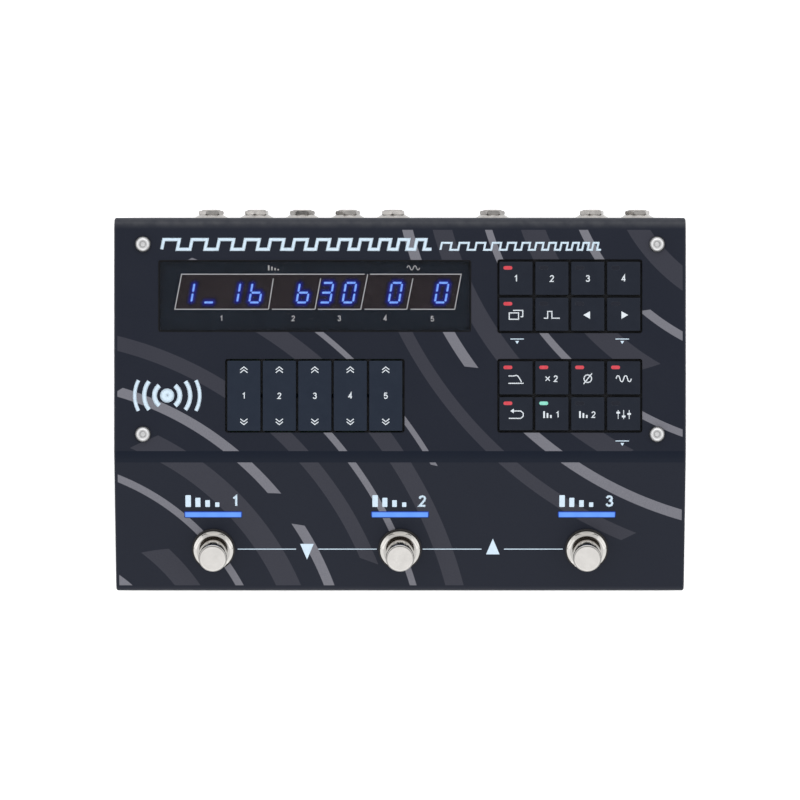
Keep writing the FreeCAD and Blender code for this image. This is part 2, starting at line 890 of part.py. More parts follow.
def tact_switches():
    body = block(tact_size, tact_size, tact_body_height)
    switch = body.fuse(rod(tact_plunger_radius, tact_height))
    places = key_centres(upper_keys_y) + key_centres(lower_keys_y)
    for x in rocker_centres():
        for side in (-1, 1):
            places.append((x, lower_keys_y + side * rocker_switch_offset))
    return Part.makeCompound([at(switch, x, y, panel_board_top) for x, y in places])


def leds():
    # One chip under each key's window and three under each light bar.
    chip = block(2.0, 1.2, 0.8)
    chips = []
    for x, y in key_centres(upper_keys_y) + key_centres(lower_keys_y):
        chips.append(at(chip, x + key_window_x, y + key_window_y, panel_board_top))
    for x in switch_places:
        for step in (-1, 0, 1):
            lamp = block(3.0, 1.6, 1.2, step * bar_length / 3, 0, -bar_board_drop)
            chips.append(on_slope(lamp, x, bars_y))
    return Part.makeCompound(chips)


def panel_spacers():
    tall = rod(spacer_radius, panel_spacer_length).cut(rod(m3_radius + thread_clearance, m3_length))
    short_length = bar_board_drop - wall
    short = rod(spacer_radius, short_length).cut(rod(m3_radius + thread_clearance, short_length - 1))
    posts = [at(tall, x, y, panel_board_top) for x, y in panel_spacer_centres()]
    for x in bar_spacer_columns:
        posts.append(on_slope(at(short, 0, 0, -bar_board_drop), x, bars_y))
    return Part.makeCompound(posts)


def board_screws():
    fastener = cap_screw()
    from_below = fastener.copy()
    from_below.rotate(Vec(0, 0, 0), Vec(1, 0, 0), 180)
    under_panel_board = panel_board_top - board_thick
    screws = [at(from_below, x, y, under_panel_board) for x, y in panel_spacer_centres()]
    for x in bar_spacer_columns:
        screws.append(on_slope(at(from_below, 0, 0, -bar_board_drop - board_thick), x, bars_y))
    for x, y in main_standoff_centres():
        screws.append(at(fastener, x, y, main_board_top))
    for x, y in jack_standoff_centres():
        screws.append(at(fastener, x, y, jack_board_top))
    return Part.makeCompound(screws)


def main_board():
    depth = main_board_rear - main_board_front
    y = (main_board_front + main_board_rear) / 2
    board = rounded_plate(main_board_width, depth, board_thick, 2.0, 0, y, main_board_bottom)
    holes = []
    for x, y in main_standoff_centres():
        holes.append(screw_hole(x, y, main_board_bottom))
    return board.cut(holes)


def processor_chips():
    # The signal processor, two memories and two converters.
    y = (main_board_front + main_board_rear) / 2
    chips = [
        block(22.0, 22.0, 1.6, -20.0, y, main_board_top),
        block(22.0, 10.0, 1.2, 12.0, y + 14.0, main_board_top),
        block(22.0, 10.0, 1.2, 12.0, y - 2.0, main_board_top),
        block(10.0, 7.0, 1.6, 60.0, y + 22.0, main_board_top),
        block(10.0, 7.0, 1.6, -60.0, y + 22.0, main_board_top),
    ]
    return Part.makeCompound(chips)


def capacitors():
    outline = [(0, 0), (4.0, 0), (4.0, 9.6), (3.6, 10.0), (0, 10.0)]
    can = turned(outline)
    y = main_board_rear - 16.0
    places = [(x, y) for x in (-96.0, -84.0, -72.0, 78.0, 90.0)]
    return Part.makeCompound([at(can, x, y, main_board_top) for x, y in places])


def board_standoffs():
    short = rod(spacer_radius, main_board_height)
    short = short.cut(rod(m3_radius + thread_clearance, main_board_height - 1, z=1))
    tall = rod(spacer_radius, jack_board_height)
    tall = tall.cut(rod(m3_radius + thread_clearance, m3_length, z=jack_board_height - m3_length))
    posts = [at(short, x, y, tray_top) for x, y in main_standoff_centres()]
    posts += [at(tall, x, y, tray_top) for x, y in jack_standoff_centres()]
    return Part.makeCompound(posts)


def jack_board():
    left = dc_x - jack_board_overhang / 2
    right = jack_places[-1] + jack_board_overhang / 2
    width = right - left
    rear = rear_inner - seam_gap
    depth = rear - jack_board_front
    x = (left + right) / 2
    y = (rear + jack_board_front) / 2
    board = rounded_plate(width, depth, board_thick, 1.5, x, y, jack_board_bottom)
    holes = []
    for x, y in jack_standoff_centres():
        holes.append(screw_hole(x, y, jack_board_bottom))
    return board.cut(holes)


def jack():
    # Drawn along +Z, with z = 0 at the rear panel's outer face and the board side towards +Y.
    below_axis = jack_z - jack_board_top
    height = below_axis + jack_body_above_axis
    body = block(
        jack_body_width,
        height,
        jack_body_length,
        0,
        (below_axis - jack_body_above_axis) / 2,
        -wall - jack_body_length,
    )
    long_edges = [e for e in body.Edges if abs(e.tangentAt(0).z) > 0.9 and e.CenterOfMass.y < 0]
    body = body.makeChamfer(2.5, long_edges)
    bush = rod(jack_bush_radius, wall + jack_proud, z=-wall)
    bush = bush.makeChamfer(0.3, [e for e in bush.Edges if abs(e.CenterOfMass.z - jack_proud) < 0.001])
    bore = rod(jack_bore_radius, jack_bore_length, z=jack_proud - jack_bore_length)
    return body.fuse(bush).cut(bore)


def jacks():
    return Part.makeCompound([facing_rear(jack(), x, jack_z) for x in jack_places])


def jack_nuts():
    nuts = []
    for x, turn_deg in zip(jack_places, jack_turns):
        nut = hex_nut(
            jack_nut_flats,
            jack_nut_height,
            jack_bush_radius + thread_clearance,
            jack_nut_flats / 2 + 0.35,
            turn_deg,
        )
        nuts.append(facing_rear(at(nut, 0, 0, jack_washer_height), x, jack_z))
    return Part.makeCompound(nuts)


def jack_washers():
    # Pressed from sheet: a rim on the rear panel and a raised crown under the nut.
    inner = jack_bush_radius + 0.1
    crown = jack_nut_flats / 2 + 0.7
    underside = jack_washer_height - jack_washer_sheet
    outline = [
        (inner, underside),
        (crown - 0.2, underside),
        (jack_washer_radius - jack_washer_sheet - 0.2, 0),
        (jack_washer_radius, 0),
        (jack_washer_radius, jack_washer_rim),
        (crown, jack_washer_height),
        (inner, jack_washer_height),
    ]
    washer = turned(outline)
    return Part.makeCompound([facing_rear(washer, x, jack_z) for x in jack_places])


def mini_jacks():
    above = mini_jack_axis_above_board
    body = block(mini_jack_width, 2 * above, mini_jack_bore_length, z=-wall - mini_jack_bore_length)
    nose = rod(mini_jack_nose_radius, wall - flush_set_back, z=-wall)
    bore = rod(
        mini_jack_bore_radius, mini_jack_bore_length, z=-flush_set_back - mini_jack_bore_length
    )
    socket = body.fuse(nose).cut(bore)
    return Part.makeCompound([facing_rear(socket, x, jack_board_top + above) for x in mini_jack_places])


def usb_port():
    # A folded shell with the receptacle's tongue in it.
    shell = rounded_plate(usb_width, usb_height, usb_length, 1.2, z=-flush_set_back - usb_length)
    hollow = rounded_plate(
        usb_width - 2 * usb_wall,
        usb_height - 2 * usb_wall,
        usb_length - 1.5,
        0.9,
        z=-flush_set_back - usb_length + 1.5,
    )
    tongue = block(6.7, 0.7, usb_length - 2.2, z=-flush_set_back - usb_length + 1.4)
    port = shell.cut(hollow).fuse(tongue)
    return facing_rear(port, usb_x, jack_board_top + usb_height / 2)


def dc_inlet():
    body = block(dc_width, 2 * dc_axis_above_board, dc_length, z=-wall - dc_length)
    nose = rod(dc_nose_radius, wall - flush_set_back, z=-wall)
    depth = 10.0
    bore = rod(dc_bore_radius, depth, z=-flush_set_back - depth)
    pin = rod(dc_pin_radius, depth - 0.4, z=-flush_set_back - depth - 0.2)
    inlet = body.fuse(nose).cut(bore).fuse(pin)
    return facing_rear(inlet, dc_x, jack_board_top + dc_axis_above_board)


def foot_switch_bodies():
    # A moulded case with three solder lugs; the stem ends in its blind well.
    top = -wall - switch_bush_depth
    case = block(switch_case_width, switch_case_width, switch_case_height, z=top - switch_case_height)
    upright = [e for e in case.Edges if abs(e.tangentAt(0).z) > 0.9]
    case = case.makeChamfer(1.0, upright)
    well_depth = switch_travel + switch_collar_height + 2.0
    case = case.cut(rod(switch_collar_radius + 0.3, well_depth, z=top - well_depth))
    bottom = top - switch_case_height
    lugs = []
    for step in (-1, 0, 1):
        x = step * switch_terminal_pitch
        lugs.append(block(1.0, 2.2, switch_terminal_length, x, 0, bottom - switch_terminal_length))
    switch = case.fuse(lugs)
    return Part.makeCompound([on_slope(switch, x, switch_y) for x in switch_places])


def foot_switch_bushes():
    bottom = -wall - switch_bush_depth
    height = switch_bush_proud - bottom
    bush = rod(switch_bush_radius, height, z=bottom)
    bush = bush.makeChamfer(0.4, [e for e in bush.Edges if abs(e.CenterOfMass.z - switch_bush_proud) < 0.001])
    plate = block(switch_case_width - 2, switch_case_width - 2, 1.2, z=bottom)
    bore = rod(switch_stem_radius + switch_stem_clearance, height, z=bottom)
    part = bush.fuse(plate).cut(bore)
    return Part.makeCompound([on_slope(part, x, switch_y) for x in switch_places])


def foot_switch_nuts():
    # The heavy nut on the washer outside, with a round flange at its foot, its corners turned round
    # and bevelled to its face, and the thin lock nut inside the panel.
    hole = switch_bush_radius + thread_clearance
    bevel_reach = switch_nut_corner_radius - switch_nut_face_radius
    bevel_height = bevel_reach * math.tan(math.radians(switch_nut_bevel_deg))
    outer = turned(
        [
            (hole, 0),
            (switch_nut_corner_radius, 0),
            (switch_nut_corner_radius, switch_nut_height - bevel_height),
            (switch_nut_face_radius, switch_nut_height),
            (hole, switch_nut_height),
        ]
    )
    outer = outer.common(hexagon(switch_nut_flats, switch_nut_height))
    flange = turned(
        [
            (hole, 0),
            (switch_nut_flange_radius, 0),
            (switch_nut_flange_radius, switch_nut_flange_height),
            (hole, switch_nut_flange_height),
        ]
    )
    outer = outer.fuse(flange)
    inner = hex_nut(
        switch_lower_nut_flats, switch_lower_nut_height, hole, switch_lower_nut_flats / 2 + 0.3
    )
    nuts = []
    for x in switch_places:
        nuts.append(on_slope(at(outer, 0, 0, switch_washer_thick), x, switch_y))
        nuts.append(on_slope(at(inner, 0, 0, -wall - switch_lower_nut_height), x, switch_y))
    return Part.makeCompound(nuts)


def foot_switch_washers():
    washer = rod(switch_washer_radius, switch_washer_thick)
    washer = washer.cut(rod(switch_bush_radius + 0.1, switch_washer_thick))
    return Part.makeCompound([on_slope(washer, x, switch_y) for x in switch_places])


def foot_switch_cap():
    # The cap on its stem, with the collar that keeps it in the bush.
    bush_bottom = -wall - switch_bush_depth
    cap = rod(switch_cap_radius, switch_cap_height, z=switch_cap_bottom)
    top = switch_cap_bottom + switch_cap_height
    cap = cap.makeFillet(switch_cap_round, [e for e in cap.Edges if abs(e.CenterOfMass.z - top) < 0.001])
    collar_top = bush_bottom - switch_cap_spare
    stem = rod(switch_stem_radius, switch_cap_bottom - collar_top + 1.0, z=collar_top)
    collar = rod(switch_collar_radius, switch_collar_height, z=collar_top - switch_collar_height)
    return cap.fuse([stem, collar])


def light_bars():
    bar = rounded_plate(bar_length, bar_width, bar_depth + bar_proud, bar_corner, z=-bar_depth)
    flange = rounded_plate(
        bar_length + 2 * bar_flange,
        bar_width + 2 * bar_flange,
        bar_flange_thick,
        bar_flange,
        z=-wall - bar_flange_thick,
    )
    light = bar.fuse(flange)
    return Part.makeCompound([on_slope(light, x, bars_y) for x in switch_places])


def light_bar_board():
    length = bar_spacer_columns[-1] - bar_spacer_columns[0] + 8.0
    board = rounded_plate(length, bar_board_width, board_thick, 1.5, z=-bar_board_drop - board_thick)
    holes = []
    for x in bar_spacer_columns:
        holes.append(screw_hole(x, 0, -bar_board_drop - board_thick))
    return on_slope(board.cut(holes), 0, bars_y)


def ribbon(x, points):
    # A flat cable in the plane of the given X, through (y, z) points.
    path = [Vec(x, y, z) for y, z in points]
    start = path[0]
    half = ribbon_width / 2
    corners = [
        start + Vec(-half, -ribbon_thick / 2, 0),
        start + Vec(half, -ribbon_thick / 2, 0),
        start + Vec(half, ribbon_thick / 2, 0),
        start + Vec(-half, ribbon_thick / 2, 0),
    ]
    return swept(path, Part.makePolygon(corners + corners[:1]), 2.5)


def plug(x, y, z):
    return block(ribbon_width + 2, plug_depth, plug_height, x, y, z)


def ribbon_cables():
    middle = (upper_keys_y + lower_keys_y) / 2
    upper_z = panel_board_top - board_thick - plug_height
    lower_z = main_board_top + plug_height
    lower_y = middle - 17.0
    knee = (upper_z + lower_z) / 2
    panel_cable = ribbon(
        panel_ribbon_x,
        [(middle, upper_z), (middle, knee + 4), (lower_y, knee - 4), (lower_y, lower_z)],
    )
    jack_x = sum(mini_jack_places) / 2
    jack_y = jack_board_front + 8.0
    jack_top = jack_board_top + plug_height
    main_y = main_board_rear - 7.0
    jack_cable = ribbon(
        jack_x, [(jack_y, jack_top), (jack_y, jack_top + 6), (main_y, jack_top + 6), (main_y, lower_z)]
    )
    bar_plug = block(ribbon_width + 2, 5.0, 4.0, 0, 0, -bar_board_drop - board_thick - 4.0)
    drop = bar_board_drop + board_thick + 4.0
    bar_y = bars_y + drop * math.sin(slope)
    bar_z = slope_top(bars_y) - drop * math.cos(slope)
    front_y = main_board_front + 14.0
    bar_cable = ribbon(
        bar_ribbon_x,
        [(bar_y, bar_z + 0.2), (bar_y, bar_z - 6), (front_y, lower_z + 6), (front_y, lower_z)],
    )
    pieces = [
        panel_cable,
        plug(panel_ribbon_x, middle, upper_z),
        plug(panel_ribbon_x, lower_y, main_board_top),
        jack_cable,
        plug(jack_x, jack_y, jack_board_top),
        plug(jack_x, main_y, main_board_top),
        bar_cable.fuse(on_slope(bar_plug, bar_ribbon_x, bars_y)),
        plug(bar_ribbon_x, front_y, main_board_top),
    ]
    return Part.makeCompound(pieces)


def foot_switch_leads():
    # Two wires from each foot switch to a small plug on the main board.
    drop = wall + switch_bush_depth + switch_case_height + switch_terminal_length
    end_y = switch_y + drop * math.sin(slope)
    end_z = slope_top(switch_y) - drop * math.cos(slope)
    down = Vec(0, math.sin(slope), -math.cos(slope))
    plug_y = main_board_front + standoff_inset + 6.0
    plug_top = main_board_top + 4.0
    pieces = []
    for x in switch_places:
        for side in (-1, 1):
            start = Vec(x + side * switch_terminal_pitch, end_y, end_z)
            turn_x = x + side * lead_spread
            above_plug = Vec(turn_x, plug_y, plug_top + 4.5)
            points = [start, start + down * 4, above_plug, Vec(turn_x, plug_y, plug_top)]
            circle = Part.Wire(Part.Circle(start, down, lead_radius).toShape())
            pieces.append(swept(points, circle, 1.8))
        pieces.append(block(12.0, 5.0, 4.0, x, plug_y, main_board_top))
    return Part.makeCompound(pieces)


def export(name, shape):
    shape.exportStep("parts/" + name + ".step")


os.makedirs("parts", exist_ok=True)

export("top_case", top_case())
export("rear_panel", rear_panel())
export("bottom_cover", bottom_cover())
export("rubber_feet", rubber_feet())
export("foot_screws", foot_screws())
export("bottom_screws", bottom_screws())
export("case_screws", case_screws())
export("clinch_nuts", clinch_nuts())
export("display_window", display_window())
export("digit_modules", digit_modules())
export("key_guides", Part.makeCompound([key_guide(upper_keys_y), key_guide(lower_keys_y)]))
export("rocker_frame", rocker_frame())
export("panel_board", panel_board())
export("tact_switches", tact_switches())
export("leds", leds())
export("panel_spacers", panel_spacers())
export("board_screws", board_screws())
export("main_board", main_board())
export("processor_chips", processor_chips())
export("capacitors", capacitors())
export("board_standoffs", board_standoffs())
export("jack_board", jack_board())
export("jacks", jacks())
export("jack_nuts", jack_nuts())
export("jack_washers", jack_washers())
export("mini_jacks", mini_jacks())
export("usb_port", usb_port())
export("dc_inlet", dc_inlet())
export("foot_switch_bodies", foot_switch_bodies())
export("foot_switch_bushes", foot_switch_bushes())
export("foot_switch_nuts", foot_switch_nuts())
export("foot_switch_washers", foot_switch_washers())
export("light_bars", light_bars())
export("light_bar_board", light_bar_board())
export("ribbon_cables", ribbon_cables())
export("foot_switch_leads", foot_switch_leads())

key_form = key()
for prefix, group_y in (("upper_key_", upper_keys_y), ("lower_key_", lower_keys_y)):
    for number, (x, y) in enumerate(key_centres(group_y), 1):
        export(prefix + str(number), at(key_form, x, y, key_top))

rocker_form = rocker()
for number, x in enumerate(rocker_centres(), 1):
    export("rocker_key_" + str(number), at(rocker_form, x, lower_keys_y, key_top))

cap_form = foot_switch_cap()
for number, x in enumerate(switch_places, 1):
    export("foot_switch_cap_" + str(number), on_slope(cap_form, x, switch_y))
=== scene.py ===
import math

import bpy
from mathutils import Matrix, Vector


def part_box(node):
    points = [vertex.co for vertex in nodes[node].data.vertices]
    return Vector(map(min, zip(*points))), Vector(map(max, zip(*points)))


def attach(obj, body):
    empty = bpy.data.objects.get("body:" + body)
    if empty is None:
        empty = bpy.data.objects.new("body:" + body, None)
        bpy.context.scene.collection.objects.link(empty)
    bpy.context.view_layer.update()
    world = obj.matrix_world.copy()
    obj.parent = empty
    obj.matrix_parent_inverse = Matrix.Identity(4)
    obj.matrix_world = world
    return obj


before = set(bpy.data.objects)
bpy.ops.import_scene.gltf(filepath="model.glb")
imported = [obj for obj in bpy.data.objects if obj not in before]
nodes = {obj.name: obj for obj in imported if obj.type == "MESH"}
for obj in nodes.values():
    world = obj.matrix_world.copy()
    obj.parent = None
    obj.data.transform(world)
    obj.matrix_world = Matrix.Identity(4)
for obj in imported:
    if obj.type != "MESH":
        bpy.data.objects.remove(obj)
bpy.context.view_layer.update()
mm = 0.001
print("frame in place,", len(nodes), "CAD nodes")


def at(x, y, z=0.0):  # a move to a place given in millimetres
    return Matrix.Translation((x * mm, y * mm, z * mm))


# The folded top of the housing: the panel's height and its bend line in millimetres, and the slope in degrees
panel = {"top": 61.0, "bend": -26.0, "slope": 18.0}
slope = math.radians(panel["slope"])
onPanel = at(0, 0, panel["top"])
onSlope = at(0, panel["bend"], panel["top"]) @ Matrix.Rotation(slope, 4, "X")

# Where the three foot switches stand in the plan
switches = {"columns": (-88.8, 0.0, 88.8), "y": -71.0}

upward = 0.9  # a face whose normal rises more than this looks up


def alongSlope(y):  # how far down the slope a point lies that is at y in the plan
    return (y - panel["bend"]) / math.cos(slope)


# Shader helpers


def feed(tree, made, feeds):  # links or sets the sockets of a shader node
    for socket, source in feeds.items():
        if isinstance(source, bpy.types.NodeSocket):
            tree.links.new(source, made.inputs[socket])
        else:
            made.inputs[socket].default_value = source


def node(tree, kind, feeds=None, **settings):  # one shader node, its settings and what feeds its sockets
    made = tree.nodes.new(kind)
    for name, value in settings.items():
        setattr(made, name, value)
    feed(tree, made, feeds or {})
    return made


def maths(tree, operation, *values, clamp=False):  # more than two values are taken one after another
    if len(values) > 2:
        values = (maths(tree, operation, *values[:-1]), values[-1])
    feeds = dict(enumerate(values))
    return node(tree, "ShaderNodeMath", feeds, operation=operation, use_clamp=clamp).outputs[0]


def times(tree, *values, clamp=False):
    return maths(tree, "MULTIPLY", *values, clamp=clamp)


def minus(tree, first, second, clamp=False):
    return maths(tree, "SUBTRACT", first, second, clamp=clamp)


def vectors(tree, operation, *values):
    return node(tree, "ShaderNodeVectorMath", dict(enumerate(values)), operation=operation).outputs


def axesOf(tree, vector):
    return node(tree, "ShaderNodeSeparateXYZ", {0: vector}).outputs


def position(tree, turn=None):  # where a point of a piece lies, in millimetres, after a turn about the origin
    place = node(tree, "ShaderNodeTexCoord").outputs["Object"]
    if turn:
        place = node(tree, "ShaderNodeMapping", {"Vector": place, "Rotation": turn}).outputs[0]
    return vectors(tree, "MULTIPLY", place, (1 / mm, 1 / mm, 1 / mm))[0]


def blend(tree, amount, first, second, mode="MIX"):  # colour sockets of the Mix node are 6 and 7
    first, second = ((*colour, 1) if isinstance(colour, tuple) else colour for colour in (first, second))
    feeds = {0: amount, 6: first, 7: second}
    return node(tree, "ShaderNodeMix", feeds, data_type="RGBA", blend_type=mode).outputs[2]


def makeRamp(tree, share, stops):  # greys between 0 and 1, given as pairs of position and tone
    ramp = node(tree, "ShaderNodeValToRGB", {"Fac": share})
    elements = ramp.color_ramp.elements
    for place, tone in stops[1:-1]:
        elements.new(place)
    for element, (place, tone) in zip(elements, stops):
        element.position = place
        element.color = (tone, tone, tone, 1)
    return ramp.outputs["Color"]


def noise(tree, size, detail, roughness):
    place = node(tree, "ShaderNodeTexCoord").outputs["Object"]
    scale = maths(tree, "DIVIDE", 1 / mm, size)
    feeds = {"Vector": place, "Scale": scale, "Detail": detail, "Roughness": roughness}
    return node(tree, "ShaderNodeTexNoise", feeds).outputs["Fac"]


def newGroup(name, inputs, output):  # a group with one mask or value coming out
    tree = bpy.data.node_groups.new(name, "ShaderNodeTree")
    for label, value in inputs.items():
        kind = "NodeSocketVector" if isinstance(value, tuple) else "NodeSocketFloat"
        tree.interface.new_socket(label, in_out="INPUT", socket_type=kind).default_value = value
    tree.interface.new_socket(output, in_out="OUTPUT", socket_type="NodeSocketFloat")
    return tree, node(tree, "NodeGroupInput").outputs, node(tree, "NodeGroupOutput")


patchiness = {"detail": 3.0, "roughness": 0.55, "lowest": 0.33, "highest": 0.67}


def makeUnevenness():  # noise on the object's own coordinates, spread between two values
    tree, given, put = newGroup("unevenness", {"Size": 1.0, "Low": 0.0, "High": 1.0}, "Value")
    spread = {
        "Value": noise(tree, given["Size"], patchiness["detail"], patchiness["roughness"]),
        "From Min": patchiness["lowest"],
        "From Max": patchiness["highest"],
        "To Min": given["Low"],
        "To Max": given["High"],
    }
    feed(tree, put, {"Value": node(tree, "ShaderNodeMapRange", spread).outputs["Result"]})
    return tree


edgeWearAndPaintedLightMask = {"contrast": 12.0, "spared": 0.25, "detail": 2.0, "roughness": 0.5, "samples": 4}


def makeEdgeRub():  # 1 along the edges of the piece, in patches: rubbed wear on the rear panel, tray and feet, painted highlight on the keys, painted shade on the nickel
    tree, given, put = newGroup("edgeWearAndPaintedLight", {"Reach": 0.3, "Break": 3.0}, "Mask")
    reach = times(tree, given["Reach"], mm)
    rounded = node(tree, "ShaderNodeBevel", {"Radius": reach}, samples=edgeWearAndPaintedLightMask["samples"]).outputs["Normal"]
    sharp = node(tree, "ShaderNodeNewGeometry").outputs["Normal"]
    turn = vectors(tree, "DOT_PRODUCT", rounded, sharp)["Value"]
    patches = noise(tree, given["Break"], edgeWearAndPaintedLightMask["detail"], edgeWearAndPaintedLightMask["roughness"])
    worn = times(tree, minus(tree, 1.0, turn), times(tree, patches, edgeWearAndPaintedLightMask["contrast"]))
    feed(tree, put, {"Mask": minus(tree, worn, edgeWearAndPaintedLightMask["spared"], clamp=True)})
    return tree


arcPrint = {"sharpness": 12.0, "slant": 0.9}


def makeRing():  # one printed arc: a band of a circle about a centre, cut aslant at both ends
    inputs = {"Centre": (0, 0, 0), "Radius": 100.0, "Width": 4.0, "Middle": 0.0, "Sweep": 1.0}
    tree, given, put = newGroup("ring", inputs, "Mask")

    def within(length, value):  # 1 up to half the length to either side
        inside = minus(tree, times(tree, length, 0.5), maths(tree, "ABSOLUTE", value))
        return times(tree, inside, arcPrint["sharpness"], clamp=True)

    place = node(tree, "ShaderNodeTexCoord").outputs["Object"]
    flat = vectors(tree, "MULTIPLY", place, (1 / mm, 1 / mm, 0))[0]
    away = vectors(tree, "SUBTRACT", flat, given["Centre"])[0]
    axes = axesOf(tree, away)
    off = minus(tree, vectors(tree, "LENGTH", away)["Value"], given["Radius"])
    angle = maths(tree, "ARCTAN2", axes["Y"], axes["X"])
    along = times(tree, minus(tree, angle, given["Middle"]), given["Radius"])
    aslant = maths(tree, "ADD", along, times(tree, off, arcPrint["slant"]))
    inBand = within(given["Width"], off)
    inSweep = within(times(tree, given["Sweep"], given["Radius"]), aslant)
    feed(tree, put, {"Mask": times(tree, inBand, inSweep)})
    return tree


unevennessGroup = makeUnevenness()
edgeWearAndPaintedLightGroup = makeEdgeRub()
ringGroup = makeRing()


def uneven(tree, size, low=0.0, high=1.0):  # size in millimetres
    feeds = {"Size": size, "Low": low, "High": high}
    return node(tree, "ShaderNodeGroup", feeds, node_tree=unevennessGroup).outputs["Value"]


def bump(tree, height, depth, under=None):  # depth in millimetres
    feeds = {"Height": height, "Distance": depth * mm}
    if under is not None:
        feeds["Normal"] = under
    return node(tree, "ShaderNodeBump", feeds).outputs["Normal"]


def grained(tree, look):  # uneven roughness and a fine grain
    normal = bump(tree, uneven(tree, look["grain"]), look["depth"])
    return {"Roughness": uneven(tree, *look["roughness"]), "Normal": normal}


def inside(material):
    return material.node_tree, material.node_tree.nodes["Principled BSDF"]


def bareMaterial(name, sockets):
    material = bpy.data.materials.new(name)
    material.use_nodes = True
    tree, shader = inside(material)
    feed(tree, shader, sockets)
    return material, tree, shader


def feeding(shader, label):  # what already feeds a socket
    return shader.inputs[label].links[0].from_socket


usual = {"metallic": 0.0, "shine": 0.5, "patch": 14.0, "smudge": 9.0}  # unless a finish says otherwise


def makeFinish(name, look):
    # Two close colours in patches, uneven roughness, a fine grain and, where there are any, edges of another
    # colour: rubbed wear on some finishes, painted highlight on the keys and painted shade on the nickel.
    look = usual | look
    settings = {"Metallic": look["metallic"], "Specular IOR Level": look["shine"]}
    material, tree, shader = bareMaterial(name, settings)
    colour = blend(tree, uneven(tree, look["patch"]), look["colour"], look["second"])
    if "wornAndLitEdge" in look:
        wornAndLitEdge = {"Reach": look["wornAndLitEdge"]["reach"], "Break": look["wornAndLitEdge"]["patch"]}
        mask = node(tree, "ShaderNodeGroup", wornAndLitEdge, node_tree=edgeWearAndPaintedLightGroup).outputs["Mask"]
        colour = blend(tree, mask, colour, look["wornAndLitEdge"]["colour"])
    roughness = uneven(tree, look["smudge"], *look["roughness"])
    normal = bump(tree, uneven(tree, look["grain"]), look["depth"])
    feed(tree, shader, {"Base Color": colour, "Roughness": roughness, "Normal": normal})
    return material


def dress(nodeName, material):
    obj = nodes[nodeName]
    obj.data.materials.clear()
    obj.data.materials.append(material)


# The housing's paint and its print of ripples, with painted shade at the bend and a painted sheen along the
# rear edge; margins, band and sheen are in millimetres

paint = {
    "colour": (0.0075, 0.0096, 0.0173),
    "second": (0.0089, 0.0112, 0.0193),
    "mottle": 0.6,
    "bendShadeColour": (0.0022, 0.0050, 0.0128),
    "bendShadeShare": 0.9,
    "darkInk": (0.031, 0.032, 0.043),
    "lightInk": (0.148, 0.148, 0.171),
    "inkWear": (0.5, 0.80, 1.0),  # size of its patches, thinnest and thickest
    "inkFilm": 1.5,  # in grains of the paint
    "inkShine": 0.05,
    "shine": 0.135,
    "bandFrom": -29.6,  # the unprinted band at the bend, in Y, where the paint is darkened as painted shade
    "bandTo": -24.2,
    "sideMargin": 133.9,
    "rearMargin": 80.6,
    "frontMargin": -88.4,
    "rearSheenColour": (0.060, 0.062, 0.068),
    "rearSheenFrom": 81.0,  # painted sheen on the round of the rear edge, where light from behind falls on it, in Y
    "rearSheenPeak": 84.0,
    "rearSheenTo": 86.6,
    "rearSheenPatches": (5.0, 0.30, 0.62),
    "roughness": (26.0, 0.40, 0.50),
    "grain": 0.35,
    "depth": 0.012,
}

# Two sets of ripples that run out from points beyond the front left and rear right corners:
# radius, width, first and last angle in degrees, ink
ripples = {
    (-176, -142): [
        (70, 4.5, 8, 62, "light"),
        (92, 10.0, 5, 50, "dark"),
        (113, 3.5, 28, 80, "light"),
        (134, 11.0, 12, 66, "dark"),
        (152, 4.8, 6, 33, "light"),
        (152, 4.8, 40, 74, "light"),
        (174, 7.0, 22, 78, "dark"),
        (190, 3.2, 10, 46, "light"),
        (209, 8.5, 8, 60, "dark"),
        (222, 2.6, 30, 70, "light"),
    ],
    (186, 126): [
        (66, 4.2, -176, -100, "light"),
        (86, 9.5, -170, -112, "dark"),
        (109, 4.0, -176, -138, "light"),
        (109, 4.0, -130, -100, "light"),
        (131, 11.0, -178, -122, "dark"),
        (151, 3.4, -166, -106, "light"),
        (172, 9.0, -174, -118, "dark"),
        (188, 5.0, -178, -144, "light"),
        (188, 5.0, -134, -104, "light"),
        (206, 6.0, -160, -112, "dark"),
    ],
}


def makeArcMasks(tree):
    masks = {"light": [], "dark": []}
    for centre, arcs in ripples.items():
        for radius, width, start, end, ink in arcs:
            middle, sweep = math.radians((start + end) / 2), math.radians(end - start)
            arc = {"Centre": (*centre, 0), "Radius": radius, "Width": width, "Middle": middle, "Sweep": sweep}
            masks[ink].append(node(tree, "ShaderNodeGroup", arc, node_tree=ringGroup).outputs["Mask"])
    return maths(tree, "MAXIMUM", *masks["light"]), maths(tree, "MAXIMUM", *masks["dark"])


